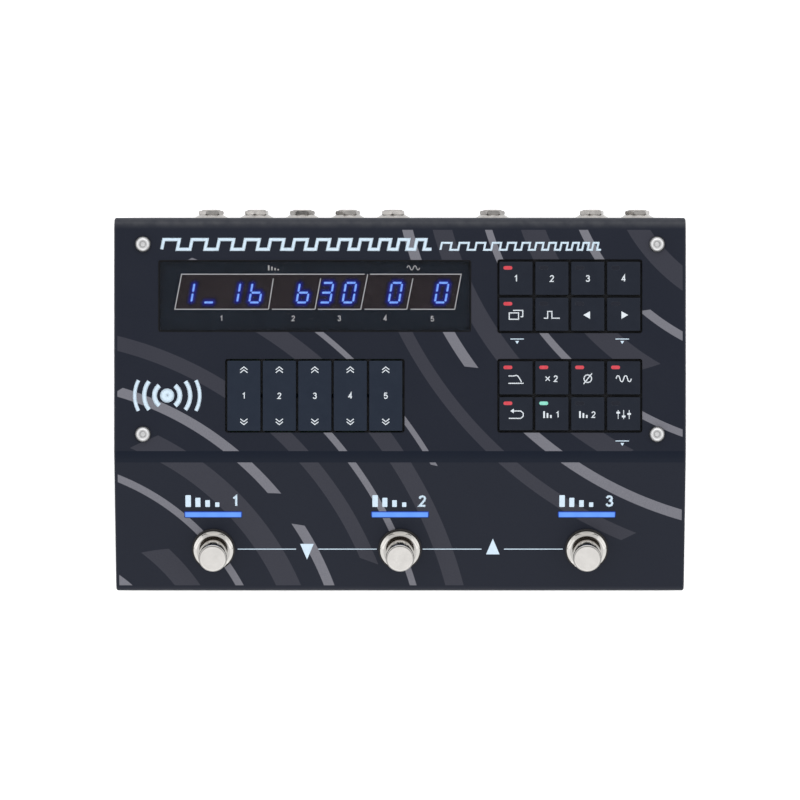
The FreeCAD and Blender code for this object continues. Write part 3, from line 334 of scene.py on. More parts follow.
def makeHousingPaint():
    material, tree, shader = bareMaterial("housingPaint", {"Specular IOR Level": paint["shine"]})
    place = axesOf(tree, position(tree))
    x, y = place["X"], place["Y"]
    facing = axesOf(tree, node(tree, "ShaderNodeNewGeometry").outputs["Normal"])
    level = maths(tree, "GREATER_THAN", facing["Z"], upward)
    behindBand = maths(tree, "GREATER_THAN", y, paint["bandTo"])
    offBand = maths(tree, "ADD", behindBand, maths(tree, "LESS_THAN", y, paint["bandFrom"]))
    inSides = maths(tree, "LESS_THAN", maths(tree, "ABSOLUTE", x), paint["sideMargin"])
    inRear = maths(tree, "LESS_THAN", y, paint["rearMargin"])
    inFront = maths(tree, "GREATER_THAN", y, paint["frontMargin"])
    printed = times(tree, level, offBand, inSides, inRear, inFront, uneven(tree, *paint["inkWear"]))
    light, dark = (times(tree, mask, printed) for mask in makeArcMasks(tree))
    inked = maths(tree, "MAXIMUM", light, dark)

    base = blend(tree, uneven(tree, paint["mottle"]), paint["colour"], paint["second"])
    # painted shade: the upward faces in the band at the bend are darker, as the fold there turns from the
    # light
    shadeAtBend = times(tree, minus(tree, 1.0, offBand), level, paint["bendShadeShare"])
    base = blend(tree, shadeAtBend, base, paint["bendShadeColour"])
    # painted sheen: the round of the rear edge is lighter in patches, where light from behind catches it
    onto = maths(tree, "DIVIDE", minus(tree, y, paint["rearSheenFrom"]), paint["rearSheenPeak"] - paint["rearSheenFrom"])
    off = maths(tree, "DIVIDE", minus(tree, paint["rearSheenTo"], y), paint["rearSheenTo"] - paint["rearSheenPeak"])
    rearSheen = maths(tree, "MINIMUM", onto, off, clamp=True)
    base = blend(tree, times(tree, rearSheen, uneven(tree, *paint["rearSheenPatches"])), base, paint["rearSheenColour"])
    base = blend(tree, dark, base, paint["darkInk"])
    base = blend(tree, light, base, paint["lightInk"])
    roughness = minus(tree, uneven(tree, *paint["roughness"]), times(tree, inked, paint["inkShine"]))
    height = maths(tree, "ADD", uneven(tree, paint["grain"]), times(tree, inked, paint["inkFilm"]))
    normal = bump(tree, height, paint["depth"])
    feed(tree, shader, {"Base Color": base, "Roughness": roughness, "Normal": normal})
    return material


dress("top_case", makeHousingPaint())
print("housing painted and printed")

# Finishes of the other CAD nodes: patch, smudge, grain and depth are in millimetres

finishes = {
    "rearPaint": {
        "nodes": ["rear_panel"],
        "colour": (0.0084, 0.0108, 0.0200), "second": (0.0102, 0.0128, 0.0226),
        "roughness": (0.42, 0.52), "shine": 0.2, "grain": 0.35, "depth": 0.012,
        "wornAndLitEdge": {"reach": 0.4, "patch": 4.0, "colour": (0.05, 0.052, 0.06)},
    },
    "trayPaint": {
        "nodes": ["bottom_cover"],
        "colour": (0.0095, 0.0098, 0.0105), "second": (0.0140, 0.0142, 0.0150),
        "roughness": (0.48, 0.62), "shine": 0.35, "grain": 0.45, "depth": 0.020,
        "wornAndLitEdge": {"reach": 0.4, "patch": 4.0, "colour": (0.07, 0.07, 0.072)},
    },
    "footRubber": {
        "nodes": ["rubber_feet"],
        "colour": (0.010, 0.010, 0.010), "second": (0.022, 0.021, 0.020), "patch": 5.0,
        "roughness": (0.70, 0.88), "shine": 0.25, "grain": 0.25, "depth": 0.030,
        "wornAndLitEdge": {"reach": 0.3, "patch": 1.2, "colour": (0.045, 0.043, 0.04)},
    },
    "zincPlate": {
        "nodes": [
            "foot_screws", "bottom_screws", "board_screws", "clinch_nuts", "board_standoffs", "panel_spacers"
        ],
        "colour": (0.56, 0.57, 0.58), "second": (0.66, 0.65, 0.60), "patch": 2.0, "metallic": 1.0,
        "roughness": (0.22, 0.38), "smudge": 1.5, "grain": 0.15, "depth": 0.006,
    },
    "jackNickel": {
        "nodes": ["jack_nuts", "jack_washers"],
        "colour": (0.28, 0.27, 0.26), "second": (0.37, 0.355, 0.34), "patch": 3.0, "metallic": 1.0,
        "roughness": (0.10, 0.26), "smudge": 2.0, "grain": 0.20, "depth": 0.005,
        # painted shade: the edges of the nuts are much darker than their flats
        "wornAndLitEdge": {"reach": 0.4, "patch": 1.5, "colour": (0.11, 0.105, 0.10)},
    },
    "switchNutNickel": {
        "nodes": ["foot_switch_nuts"],
        "colour": (0.47, 0.458, 0.440), "second": (0.52, 0.507, 0.485), "patch": 5.0, "metallic": 1.0,
        "roughness": (0.04, 0.12), "smudge": 4.0, "grain": 0.30, "depth": 0.003,
        # painted shade: the edges are a little darker, which dims their highlights
        "wornAndLitEdge": {"reach": 0.3, "patch": 2.0, "colour": (0.45, 0.44, 0.42)},
    },
    "socketSteel": {
        "nodes": ["usb_port"],
        "colour": (0.50, 0.50, 0.51), "second": (0.60, 0.60, 0.60), "patch": 2.0, "metallic": 1.0,
        "roughness": (0.25, 0.38), "grain": 0.12, "depth": 0.005,
    },
    "socketPlastic": {
        "nodes": ["mini_jacks", "dc_inlet"],
        "colour": (0.010, 0.010, 0.011), "second": (0.016, 0.016, 0.017),
        "roughness": (0.30, 0.45), "grain": 0.20, "depth": 0.008,
    },
    "fibreWasher": {
        "nodes": ["foot_switch_washers"],
        "colour": (0.008, 0.008, 0.009), "second": (0.018, 0.017, 0.017), "patch": 2.0,
        "roughness": (0.60, 0.80), "shine": 0.3, "grain": 0.20, "depth": 0.020,
    },
    "guidePlastic": {
        "nodes": ["key_guides", "rocker_frame"],
        "colour": (0.014, 0.015, 0.018), "second": (0.018, 0.019, 0.023),
        "roughness": (0.55, 0.70), "shine": 0.3, "grain": 0.30, "depth": 0.012,
    },
    "digitEpoxy": {
        "nodes": ["digit_modules"],
        "colour": (0.0275, 0.0227, 0.0275), "second": (0.0308, 0.0253, 0.0308), "patch": 4.0,
        "roughness": (0.40, 0.55), "shine": 0.2, "grain": 0.25, "depth": 0.006,
    },
    "solderMask": {
        "nodes": ["panel_board", "main_board", "jack_board", "light_bar_board"],
        "colour": (0.006, 0.060, 0.026), "second": (0.010, 0.085, 0.036), "patch": 3.0,
        "roughness": (0.25, 0.40), "grain": 0.40, "depth": 0.010,
    },
    "switchPlastic": {
        "nodes": ["tact_switches"],
        "colour": (0.020, 0.020, 0.021), "second": (0.030, 0.030, 0.031),
        "roughness": (0.40, 0.55), "grain": 0.20, "depth": 0.008,
    },
    "chipEpoxy": {
        "nodes": ["processor_chips"],
        "colour": (0.014, 0.014, 0.015), "second": (0.024, 0.024, 0.025), "patch": 2.0,
        "roughness": (0.50, 0.65), "grain": 0.20, "depth": 0.010,
    },
    "lampChip": {
        "nodes": ["leds"],
        "colour": (0.62, 0.58, 0.40), "second": (0.70, 0.68, 0.55), "patch": 0.8,
        "roughness": (0.30, 0.45), "grain": 0.20, "depth": 0.006,
    },
    "capacitorCan": {
        "nodes": ["capacitors"],
        "colour": (0.60, 0.60, 0.62), "second": (0.68, 0.68, 0.69), "patch": 2.0, "metallic": 1.0,
        "roughness": (0.28, 0.40), "grain": 0.15, "depth": 0.006,
    },
    "switchBody": {
        "nodes": ["foot_switch_bodies"],
        "colour": (0.015, 0.075, 0.36), "second": (0.022, 0.095, 0.42),
        "roughness": (0.30, 0.45), "grain": 0.25, "depth": 0.008,
    },
    "ribbonSleeve": {
        "nodes": ["ribbon_cables"],
        "colour": (0.24, 0.24, 0.24), "second": (0.33, 0.33, 0.32), "patch": 1.2,
        "roughness": (0.45, 0.60), "grain": 0.50, "depth": 0.020,
    },
    "leadSleeve": {
        "nodes": ["foot_switch_leads"],
        "colour": (0.20, 0.012, 0.012), "second": (0.27, 0.020, 0.018), "patch": 3.0,
        "roughness": (0.30, 0.45), "grain": 0.20, "depth": 0.006,
    },
}
for name, look in finishes.items():
    material = makeFinish(name, look)
    for nodeName in look["nodes"]:
        dress(nodeName, material)

keyCap = {
    "colour": (0.0085, 0.0112, 0.0185), "second": (0.0097, 0.0126, 0.0205), "patch": 5.0,
    "roughness": (0.42, 0.54), "smudge": 6.0, "shine": 0.12, "grain": 0.25, "depth": 0.010,
    # painted highlight: the keys' edges are lighter, and the rockers keep this too
    "wornAndLitEdge": {"reach": 0.25, "patch": 2.5, "colour": (0.050, 0.056, 0.070)},
}
rockerCap = dict(keyCap, colour=(0.0100, 0.0150, 0.0264), second=(0.0114, 0.0168, 0.0288))
keyNames = [f"{row}_key_{i}" for row in ("upper", "lower") for i in range(1, 9)]
rockerNames = [f"rocker_key_{i}" for i in range(1, 6)]
keyPlastic = makeFinish("keyPlastic", keyCap)
rockerPlastic = makeFinish("rockerPlastic", rockerCap)
for name in keyNames:
    dress(name, keyPlastic)
for name in rockerNames:
    dress(name, rockerPlastic)

# Plated button heads with fine turning marks, and painted light and shade: dark in the corner of the socket,
# a light ring beyond it and darker towards the rim
panelScrews = {
    "x": 121.8,
    "rows": (-16.2, 73.8),
    "reach": 4.0,
    "tones": (  # painted highlight and shade, by distance from the screw's middle
        (0.0, 0.80), (0.95, 0.86), (1.25, 0.50), (1.55, 0.50),
        (1.95, 0.74), (2.5, 0.58), (2.9, 0.34), (3.8, 0.28),
    ),
    "marks": 0.32,
    "markDepth": 0.12,
    "look": {
        "colour": (0.97, 0.97, 0.98), "second": (0.88, 0.88, 0.89), "patch": 1.5, "metallic": 1.0,
        "roughness": (0.26, 0.40), "smudge": 1.2, "grain": 0.18, "depth": 0.006,
    },
}


def toneDown(tree, shader, tones):  # multiplies the base colour by greys, to paint light and shade
    toned = blend(tree, 1.0, feeding(shader, "Base Color"), tones, mode="MULTIPLY")
    feed(tree, shader, {"Base Color": toned})


def makePanelScrewNickel():
    material = makeFinish("panelScrewNickel", panelScrews["look"])
    tree, shader = inside(material)
    front, rear = panelScrews["rows"]
    place = axesOf(tree, position(tree))
    across = minus(tree, maths(tree, "ABSOLUTE", place["X"]), panelScrews["x"])
    fromMiddle = maths(tree, "ABSOLUTE", minus(tree, place["Y"], (front + rear) / 2))
    along = minus(tree, fromMiddle, (rear - front) / 2)
    squares = maths(tree, "ADD", times(tree, across, across), times(tree, along, along))
    radius = maths(tree, "SQRT", squares)
    share = maths(tree, "DIVIDE", radius, panelScrews["reach"])
    tones = [(distance / panelScrews["reach"], tone) for distance, tone in panelScrews["tones"]]
    toneDown(tree, shader, makeRamp(tree, share, tones))
    rings = maths(tree, "PINGPONG", radius, panelScrews["marks"] / 2)
    turned = bump(tree, rings, panelScrews["markDepth"], under=feeding(shader, "Normal"))
    feed(tree, shader, {"Normal": turned})
    return material


dress("case_screws", makePanelScrewNickel())

# Foot-switch caps with painted shade: darkest on the round of the edge, dimmer on the side than on the top
switchCap = {
    "axis": (0, -math.sin(slope), math.cos(slope)),
    "paintedShadeByTilt": (  # by the cosine of a face's tilt
        (0.0, 0.64), (0.60, 0.55), (0.92, 0.36), (0.985, 0.60), (0.998, 1.0), (1.0, 1.0),
    ),
    "look": {
        "colour": (0.61, 0.592, 0.570), "second": (0.66, 0.642, 0.618), "patch": 5.0, "metallic": 1.0,
        "roughness": (0.04, 0.12), "smudge": 4.0, "grain": 0.30, "depth": 0.003,
    },
}


def makeCapNickel():
    material = makeFinish("switchCapNickel", switchCap["look"])
    tree, shader = inside(material)
    facing = node(tree, "ShaderNodeNewGeometry").outputs["Normal"]
    tilt = vectors(tree, "DOT_PRODUCT", facing, switchCap["axis"])["Value"]
    toneDown(tree, shader, makeRamp(tree, tilt, switchCap["paintedShadeByTilt"]))
    return material


capNickel = makeCapNickel()
for i in range(1, 4):
    dress(f"foot_switch_cap_{i}", capNickel)

# Turned threads: along Y on the jacks, outside the rear panel only, and square to the slope on the bushes
threads = {"pitch": 0.75, "depth": 0.12, "jacksFrom": 86.6}
# the jack and bush threads keep the jack nickel's painted shade along their edges
jackThread = dict(finishes["jackNickel"], roughness=(0.16, 0.30))
bushThread = dict(jackThread, metallic=0.35, colour=(0.175, 0.152, 0.135), second=(0.220, 0.193, 0.170))
squareToSlope = (-slope - math.radians(90), 0, 0)


def makeThreaded(name, look, turn=None, firstAt=None):
    material = makeFinish(name, look)
    tree, shader = inside(material)
    along = axesOf(tree, position(tree, turn))["Y"]
    groove = times(tree, maths(tree, "PINGPONG", along, threads["pitch"] / 2), 2 / threads["pitch"])
    if firstAt:
        groove = times(tree, groove, maths(tree, "GREATER_THAN", along, firstAt))
    feed(tree, shader, {"Normal": bump(tree, groove, threads["depth"], under=feeding(shader, "Normal"))})
    return material


dress("jacks", makeThreaded("jackThread", jackThread, firstAt=threads["jacksFrom"]))
dress("foot_switch_bushes", makeThreaded("switchThread", bushThread, squareToSlope))

lens = {
    "colour": (0.80, 0.77, 0.77),
    "second": (0.788, 0.75845, 0.75845),
    "patch": 20.0,
    "edgeShadeColour": (0.0, 0.0, 0.0),
    "shadow": (0.55, 0.53, 0.53),
    "refraction": 1.49,
    "shine": 0.2,
    "roughness": (12.0, 0.015, 0.05),
    "grain": 8.0,
    "depth": 0.002,
    "edge": 0.45,  # the strip along the lens's edges, black as painted shade
    "flange": 1.9,  # how far the foot of the lens stands out round its face
}


def makeLens():
    # Smoked acrylic. Lamps shine through it, so that what lies below isn't left in full shadow.
    settings = {"Transmission Weight": 1.0, "IOR": lens["refraction"], "Specular IOR Level": lens["shine"]}
    material, tree, shader = bareMaterial("smokedLens", settings)
    low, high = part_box("display_window")
    place = axesOf(tree, position(tree))
    edges = []
    for axis, start, end in (("X", low.x, high.x), ("Y", low.y, high.y)):
        off = minus(tree, place[axis], (start + end) / 2 / mm)
        reach = (end - start) / 2 / mm - lens["flange"] - lens["edge"]
        edges.append(maths(tree, "GREATER_THAN", maths(tree, "ABSOLUTE", off), reach))
    tinted = blend(tree, uneven(tree, lens["patch"]), lens["colour"], lens["second"])
    # painted shade: the edge strip and the foot of the lens are black, so that the gap round the lens looks
    # dark
    colour = blend(tree, maths(tree, "MAXIMUM", *edges), tinted, lens["edgeShadeColour"])
    feed(tree, shader, {"Base Color": colour} | grained(tree, lens))
    clear = node(tree, "ShaderNodeBsdfTransparent", {"Color": (*lens["shadow"], 1)}).outputs[0]
    shadowRay = node(tree, "ShaderNodeLightPath").outputs["Is Shadow Ray"]
    mixed = node(tree, "ShaderNodeMixShader", {0: shadowRay, 1: shader.outputs[0], 2: clear}).outputs[0]
    feed(tree, tree.nodes["Material Output"], {"Surface": mixed})
    return material


dress("display_window", makeLens())

lamp = {"unlit": 0.08, "shine": 0.3, "roughness": (1.0, 0.25, 0.40), "grain": 0.3, "depth": 0.004}


def makeLamp(name, look):
    # A lit plastic: its glow is brightest in patches and falls off between them.
    unlit = [lamp["unlit"] * part for part in look["lit"]]
    strength, shine = look["strength"], lamp["shine"]
    settings = {"Base Color": (*unlit, 1), "Emission Strength": strength, "Specular IOR Level": shine}
    material, tree, shader = bareMaterial(name, settings)
    glow = blend(tree, uneven(tree, look["patch"]), look["lit"], look["core"])
    feed(tree, shader, {"Emission Color": glow} | grained(tree, lamp))
    return material


lightBar = {
    "y": -54.5,
    "halfLength": 13.45,
    "halfWidth": 1.31,  # in the plan, so a little less than along the slope
    "edge": 0.35,
    "lampPitch": 9.1,
    "unlit": (0.004, 0.010, 0.045, 1),
    "core": (0.136, 0.350, 0.97),
    "between": (0.122, 0.325, 0.94),
    "rim": (0.012, 0.045, 0.34),
    "shine": 0.25,
    "roughness": (2.0, 0.22, 0.38),
    "grain": 0.4,
    "depth": 0.004,
}


def makeLightBar():
    # Each bar is a light guide with three lamps below: brightest over them, and deep blue at its rim.
    unlit, shine = lightBar["unlit"], lightBar["shine"]
    settings = {"Base Color": unlit, "Emission Strength": 1.0, "Specular IOR Level": shine}
    material, tree, shader = bareMaterial("litBar", settings)
    place = axesOf(tree, position(tree))
    pitch = switches["columns"][2]
    fromFirst = maths(tree, "MODULO", maths(tree, "ADD", place["X"], pitch * 1.5), pitch)
    along = maths(tree, "ABSOLUTE", minus(tree, fromFirst, pitch / 2))
    across = maths(tree, "ABSOLUTE", minus(tree, place["Y"], lightBar["y"]))
    toEnd = minus(tree, lightBar["halfLength"], along)
    toSide = minus(tree, lightBar["halfWidth"], across)
    toRim = maths(tree, "DIVIDE", maths(tree, "MINIMUM", toEnd, toSide), lightBar["edge"], clamp=True)
    overLamp = maths(tree, "COSINE", times(tree, along, 2 * math.pi / lightBar["lampPitch"]))
    amount = maths(tree, "ADD", times(tree, overLamp, 0.5), 0.5, clamp=True)
    glow = blend(tree, toRim, lightBar["rim"], blend(tree, amount, lightBar["between"], lightBar["core"]))
    feed(tree, shader, {"Emission Color": glow} | grained(tree, lightBar))
    return material


dress("light_bars", makeLightBar())
finished = {obj.data.materials[0].name for obj in nodes.values()}
print("CAD nodes finished in", len(finished), "materials")

# New pieces and what shapes them, in millimetres: ink is a thin film, lifted a little off what carries it

ink = {"film": 0.02, "lift": 0.001, "cornerSteps": 3, "curveSteps": 6}


def deselect():
    bpy.ops.object.select_all(action="DESELECT")


def added(primitive, **settings):  # adds a primitive with nothing else selected
    deselect()
    primitive(**settings)
    return bpy.context.object


def selectAll():  # in edit mode
    bpy.ops.mesh.select_all(action="SELECT")


def leant(degrees):  # leans what stands along Y over to the right
    leaning = Matrix.Identity(4)
    leaning[0][1] = math.tan(math.radians(degrees))
    return leaning


def finishShape(obj, x=0.0, y=0.0, turn=0.0, lean=0.0):
    # Lays a flat shape at x, y, turned and then leant over to the right.
    move = at(x, y) @ leant(lean) @ Matrix.Rotation(math.radians(turn), 4, "Z")
    obj.data.transform(move @ obj.matrix_world)
    obj.matrix_world = Matrix.Identity(4)
    return obj


def editMesh():  # into edit mode with everything selected
    bpy.ops.object.mode_set(mode="EDIT")
    selectAll()


def leaveMesh():
    bpy.ops.mesh.select_mode(type="VERT")
    bpy.ops.object.mode_set(mode="OBJECT")


def thicken(tall):  # gives the flat faces in edit mode a thickness
    selectAll()
    bpy.ops.mesh.extrude_region_move(TRANSFORM_OT_translate={"value": (0, 0, tall * mm)})
    selectAll()
    bpy.ops.mesh.normals_make_consistent(inside=False)


def selectFaces(obj, wanted):  # leaves edit mode and comes back to it with only the wanted faces selected
    bpy.ops.object.mode_set(mode="EDIT")
    bpy.ops.mesh.select_mode(type="FACE")
    bpy.ops.mesh.select_all(action="DESELECT")
    bpy.ops.object.mode_set(mode="OBJECT")
    for face in obj.data.polygons:
        face.select = wanted(face)
    bpy.ops.object.mode_set(mode="EDIT")


def raiseTop(obj, rim, tall):  # insets the top of a flat piece and lifts it
    selectFaces(obj, lambda face: face.normal.z > upward)
    bpy.ops.mesh.inset(thickness=rim * mm)
    bpy.ops.transform.translate(value=(0, 0, tall * mm))
    leaveMesh()


def duplicate(pattern):
    copy = pattern.copy()
    copy.data = pattern.data.copy()
    bpy.context.collection.objects.link(copy)
    return copy


def plate(width, height, x=0.0, y=0.0):
    obj = added(bpy.ops.mesh.primitive_plane_add, size=1)
    bpy.ops.transform.resize(value=(width * mm, height * mm, 1))
    return finishShape(obj, x, y)


def inkBar(width, height, x=0.0, y=0.0, corner=0.0):
    obj = plate(width, height)
    editMesh()
    if corner:
        bpy.ops.mesh.bevel(offset=corner * mm, segments=ink["cornerSteps"], affect="VERTICES")
    thicken(ink["film"])
    leaveMesh()
    return finishShape(obj, x, y)


def inkTriangle(width, height, x=0.0, y=0.0, turn=0.0):  # points up before it is turned
    obj = added(bpy.ops.mesh.primitive_circle_add, vertices=3, radius=1, fill_type="NGON")
    across = obj.dimensions
    bpy.ops.transform.resize(value=(width * mm / across.x, height * mm / across.y, 1))
    finishShape(obj)
    editMesh()
    thicken(ink["film"])
    leaveMesh()
    return finishShape(obj, x, y, turn)


def inkLine(points, width, x=0.0, y=0.0, closed=False, smooth=False):  # a printed line through points
    obj = added(bpy.ops.curve.primitive_bezier_curve_add)
    curve = obj.data
    curve.splines.clear()
    curve.dimensions = "2D"  # so that corners are mitred
    curve.fill_mode = "NONE"
    spline = curve.splines.new("BEZIER" if smooth else "POLY")
    corners = spline.bezier_points if smooth else spline.points
    corners.add(len(points) - 1)
    for corner, (px, py) in zip(corners, points):
        if smooth:
            corner.co = (px * mm, py * mm, 0)
            corner.handle_left_type = corner.handle_right_type = "AUTO"
        else:
            corner.co = (px * mm, py * mm, 0, 1)
    curve.resolution_u = ink["curveSteps"]
    spline.use_cyclic_u = closed
    curve.bevel_depth = width * mm / 2
    curve.bevel_resolution = 0
    curve.use_fill_caps = not closed
    bpy.ops.object.convert(target="MESH")
    obj.data.transform(at(0, 0, ink["film"] / 2) @ Matrix.Diagonal((1, 1, ink["film"] / width, 1)))
    return finishShape(obj, x, y)


def inkArc(radius, width, start, end, x=0.0, y=0.0, steps=14):
    points = []
    for i in range(steps + 1):
        angle = math.radians(start + (end - start) * i / steps)
        points.append((radius * math.cos(angle), radius * math.sin(angle)))
    return inkLine(points, width, x, y, closed=end - start >= 360)


def inkWave(step, height, line, x=0.0, y=0.0):  # two periods of a wave, in twelve steps
    points = [(step * (i - 6), height * math.sin(i * math.pi / 3)) for i in range(13)]
    return inkLine(points, line, x, y, smooth=True)


def fallingBars(bars, x, foot, step, corner):  # bars on one foot line, given by height and width
    return [inkBar(wide, tall, x + i * step, foot + tall / 2, corner) for i, (tall, wide) in enumerate(bars)]


# Each figure is one or two strokes in a box of unit height
figures = {
    "1": [[(-0.19, 0.27), (0.08, 0.5), (0.08, -0.5)]],
    "2": [
        [
            (-0.27, 0.25), (-0.2, 0.42), (0.0, 0.5), (0.2, 0.43),
            (0.27, 0.25), (0.2, 0.06), (-0.27, -0.5), (0.3, -0.5),
        ],
    ],
    "3": [
        [
            (-0.25, 0.31), (-0.15, 0.46), (0.01, 0.5), (0.18, 0.44),
            (0.25, 0.28), (0.18, 0.11), (0.0, 0.04), (-0.07, 0.04),
        ],
        [
            (-0.07, 0.04), (0.04, 0.04), (0.22, -0.05), (0.29, -0.22),
            (0.21, -0.42), (0.01, -0.5), (-0.18, -0.45), (-0.29, -0.28),
        ],
    ],
    "4": [[(0.13, -0.5), (0.13, 0.5), (-0.3, -0.2), (0.32, -0.2)]],
    "5": [
        [(0.25, 0.5), (-0.19, 0.5), (-0.24, 0.03), (-0.06, 0.13), (0.13, 0.11), (0.26, -0.03)],
        [(0.26, -0.03), (0.29, -0.2), (0.21, -0.4), (0.02, -0.5), (-0.17, -0.45), (-0.29, -0.3)],
    ],
}


def inkFigure(figure, height, x=0.0, y=0.0, weight=0.17):  # its stroke is a share of its height
    line = weight * height
    tall = height - line
    return [inkLine([(px * tall, py * tall) for px, py in stroke], line, x, y) for stroke in figures[figure]]


def gather(parts, name, body, material, place):
    # Joins parts, takes them to their place and lets them ride on a body.
    deselect()
    for part in parts:
        part.select_set(True)
    bpy.context.view_layer.objects.active = parts[0]
    if len(parts) > 1:
        bpy.ops.object.join()
    obj = parts[0]
    obj.name = obj.data.name = name
    obj.data.transform(place @ at(0, 0, ink["lift"]))
    obj.data.materials.clear()
    obj.data.materials.append(material)
    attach(obj, body)
    return obj


def topOf(name):  # the middle of the top of a CAD node
    low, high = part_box(name)
    return Vector(((low.x + high.x) / 2, (low.y + high.y) / 2, high.z))


inkLook = {"roughness": (0.40, 0.52), "grain": 0.20, "depth": 0.004}
blueLook = {"colour": (0.46, 0.57, 0.66), "second": (0.50, 0.61, 0.71), "patch": 1.5, "shine": 0.3}
whiteLook = {"colour": (0.53, 0.57, 0.61), "second": (0.58, 0.62, 0.66), "patch": 1.0, "shine": 0.3}
greyLook = {"colour": (0.275, 0.28, 0.295), "second": (0.31, 0.315, 0.33), "patch": 1.5, "shine": 0.2}
blueInk = makeFinish("paleBlueInk", inkLook | blueLook)
whiteInk = makeFinish("whiteInk", inkLook | whiteLook)
greyInk = makeFinish("greyInk", inkLook | greyLook)

# Two trains of pulses that follow each other faster and faster, one tall and one low
pulseTrains = [
    {"from": -112.4, "to": 15.4, "y": 73.7, "tall": 6.2, "line": 1.6, "widest": 13.4},
    {"from": 19.5, "to": 95.6, "y": 72.8, "tall": 4.3, "line": 1.0, "widest": 8.4},
]
pulses = {"count": 12, "share": 0.55, "lean": 12}
rippleSign = {
    "place": (-110.3, 2.1),
    "source": 3.4,
    "steps": 20,
    "waves": ((6.0, 2.4, 52), (10.9, 2.1, 38), (15.4, 1.8, 28)),  # radius, width and half the angle
}
keyNotes = {
    "places": ((55.5, 28.9), (105.3, 28.9), (105.3, -19.4)),
    "reach": 3.2,
    "line": 0.5,
    "arrow": (1.8, 1.4),
}


def makePulses():
    parts = []
    lean = math.tan(math.radians(pulses["lean"]))
    for train in pulseTrains:
        half = (train["tall"] - train["line"]) / 2
        narrowest = 2 * (train["to"] - train["from"]) / pulses["count"] - train["widest"]
        x = train["from"]
        points = []
        for i in range(pulses["count"]):
            period = train["widest"] + (narrowest - train["widest"]) * i / (pulses["count"] - 1)
            end = x + period * pulses["share"]
            points += [(x, -half), (x, half), (end, half), (end, -half)]
            x += period
        points.append((train["to"], -half))
        parts.append(inkLine([(px + py * lean, py) for px, py in points], train["line"], 0, train["y"]))
    return parts


def makeRippleSign():  # a source with waves to both sides
    x, y = rippleSign["place"]
    source = rippleSign["source"]
    parts = [inkArc(source / 2, source, 0, 360, x, y, rippleSign["steps"])]
    for radius, width, reach in rippleSign["waves"]:
        for side in (0, 180):
            parts.append(inkArc(radius, width, side - reach, side + reach, x, y))
    return parts


def makeKeyNotes():  # small marks below the keys
    parts = []
    reach = keyNotes["reach"]
    for x, y in keyNotes["places"]:
        parts.append(inkLine([(-reach, 0), (reach, 0)], keyNotes["line"], x, y))
        parts.append(inkTriangle(*keyNotes["arrow"], x, y - keyNotes["arrow"][1], 180))
    return parts


gather(makePulses() + makeKeyNotes(), "panelMarks", "housing", blueInk, onPanel)
gather(makeRippleSign(), "rippleSign", "housing", blueInk, onPanel)

slopeMarks = {
    "figureY": -48.0,
    "figureX": 10.6,
    "figure": 5.9,
    "weight": 0.19,
    "bars": ((5.9, 2.6), (4.6, 2.4), (3.4, 2.2), (2.3, 2.0)),  # height and width of each bar
    "barX": -11.8,
    "barStep": 4.6,
    "barCorner": 0.3,
    "line": 0.42,
    "lines": ((-77.3, -49.5), (-38.9, -11.1), (10.8, 38.8), (49.5, 77.5)),
    "arrow": (6.4, 7.9),
    "arrows": ((-44.3, 180), (44.2, 0)),
}


def makeSlopeMarks():
    marks = slopeMarks
    parts = []
    y = alongSlope(marks["figureY"])
    foot = y - marks["figure"] / 2
    for i, x in enumerate(switches["columns"], 1):
        parts += fallingBars(marks["bars"], x + marks["barX"], foot, marks["barStep"], marks["barCorner"])
        parts += inkFigure(str(i), marks["figure"], x + marks["figureX"], y, marks["weight"])
    y = alongSlope(switches["y"])
    for start, end in marks["lines"]:
        parts.append(inkBar(end - start, marks["line"], (start + end) / 2, y))
    for x, turn in marks["arrows"]:
        parts.append(inkTriangle(*marks["arrow"], x, y, turn))
    return parts


gather(makeSlopeMarks(), "slopeMarks", "housing", blueInk, onSlope)
print("panel marks made")

# The round foot of each foot-switch nut is turned to a cone on top
nutCone = {"foot": 1.5, "tall": 0.50, "outer": 9.42, "inner": 8.42, "sides": 96, "smoothTo": 20}


def makeNutCone(x):
    # A ring of three sides, drawn in from its rim, down and back.
    obj = added(bpy.ops.mesh.primitive_circle_add, vertices=nutCone["sides"], radius=nutCone["outer"] * mm)
    share = nutCone["inner"] / nutCone["outer"]
    bpy.ops.object.mode_set(mode="EDIT")
    bpy.ops.mesh.extrude_edges_move(TRANSFORM_OT_translate={"value": (0, 0, nutCone["tall"] * mm)})
    bpy.ops.transform.resize(value=(share, share, 1))
    bpy.ops.mesh.extrude_edges_move(TRANSFORM_OT_translate={"value": (0, 0, -nutCone["tall"] * mm)})
    selectAll()
    bpy.ops.mesh.region_to_loop()
    bpy.ops.mesh.bridge_edge_loops()
    selectAll()
    bpy.ops.mesh.normals_make_consistent(inside=False)
    leaveMesh()
    bpy.ops.object.shade_smooth_by_angle(angle=math.radians(nutCone["smoothTo"]))
    obj.data.transform(at(0, 0, nutCone["foot"]))
    return finishShape(obj, x, alongSlope(switches["y"]))


nutNickel = nodes["foot_switch_nuts"].data.materials[0]
cones = [makeNutCone(x) for x in switches["columns"]]
gather(cones, "switchNutCones", "housing", nutNickel, onSlope)

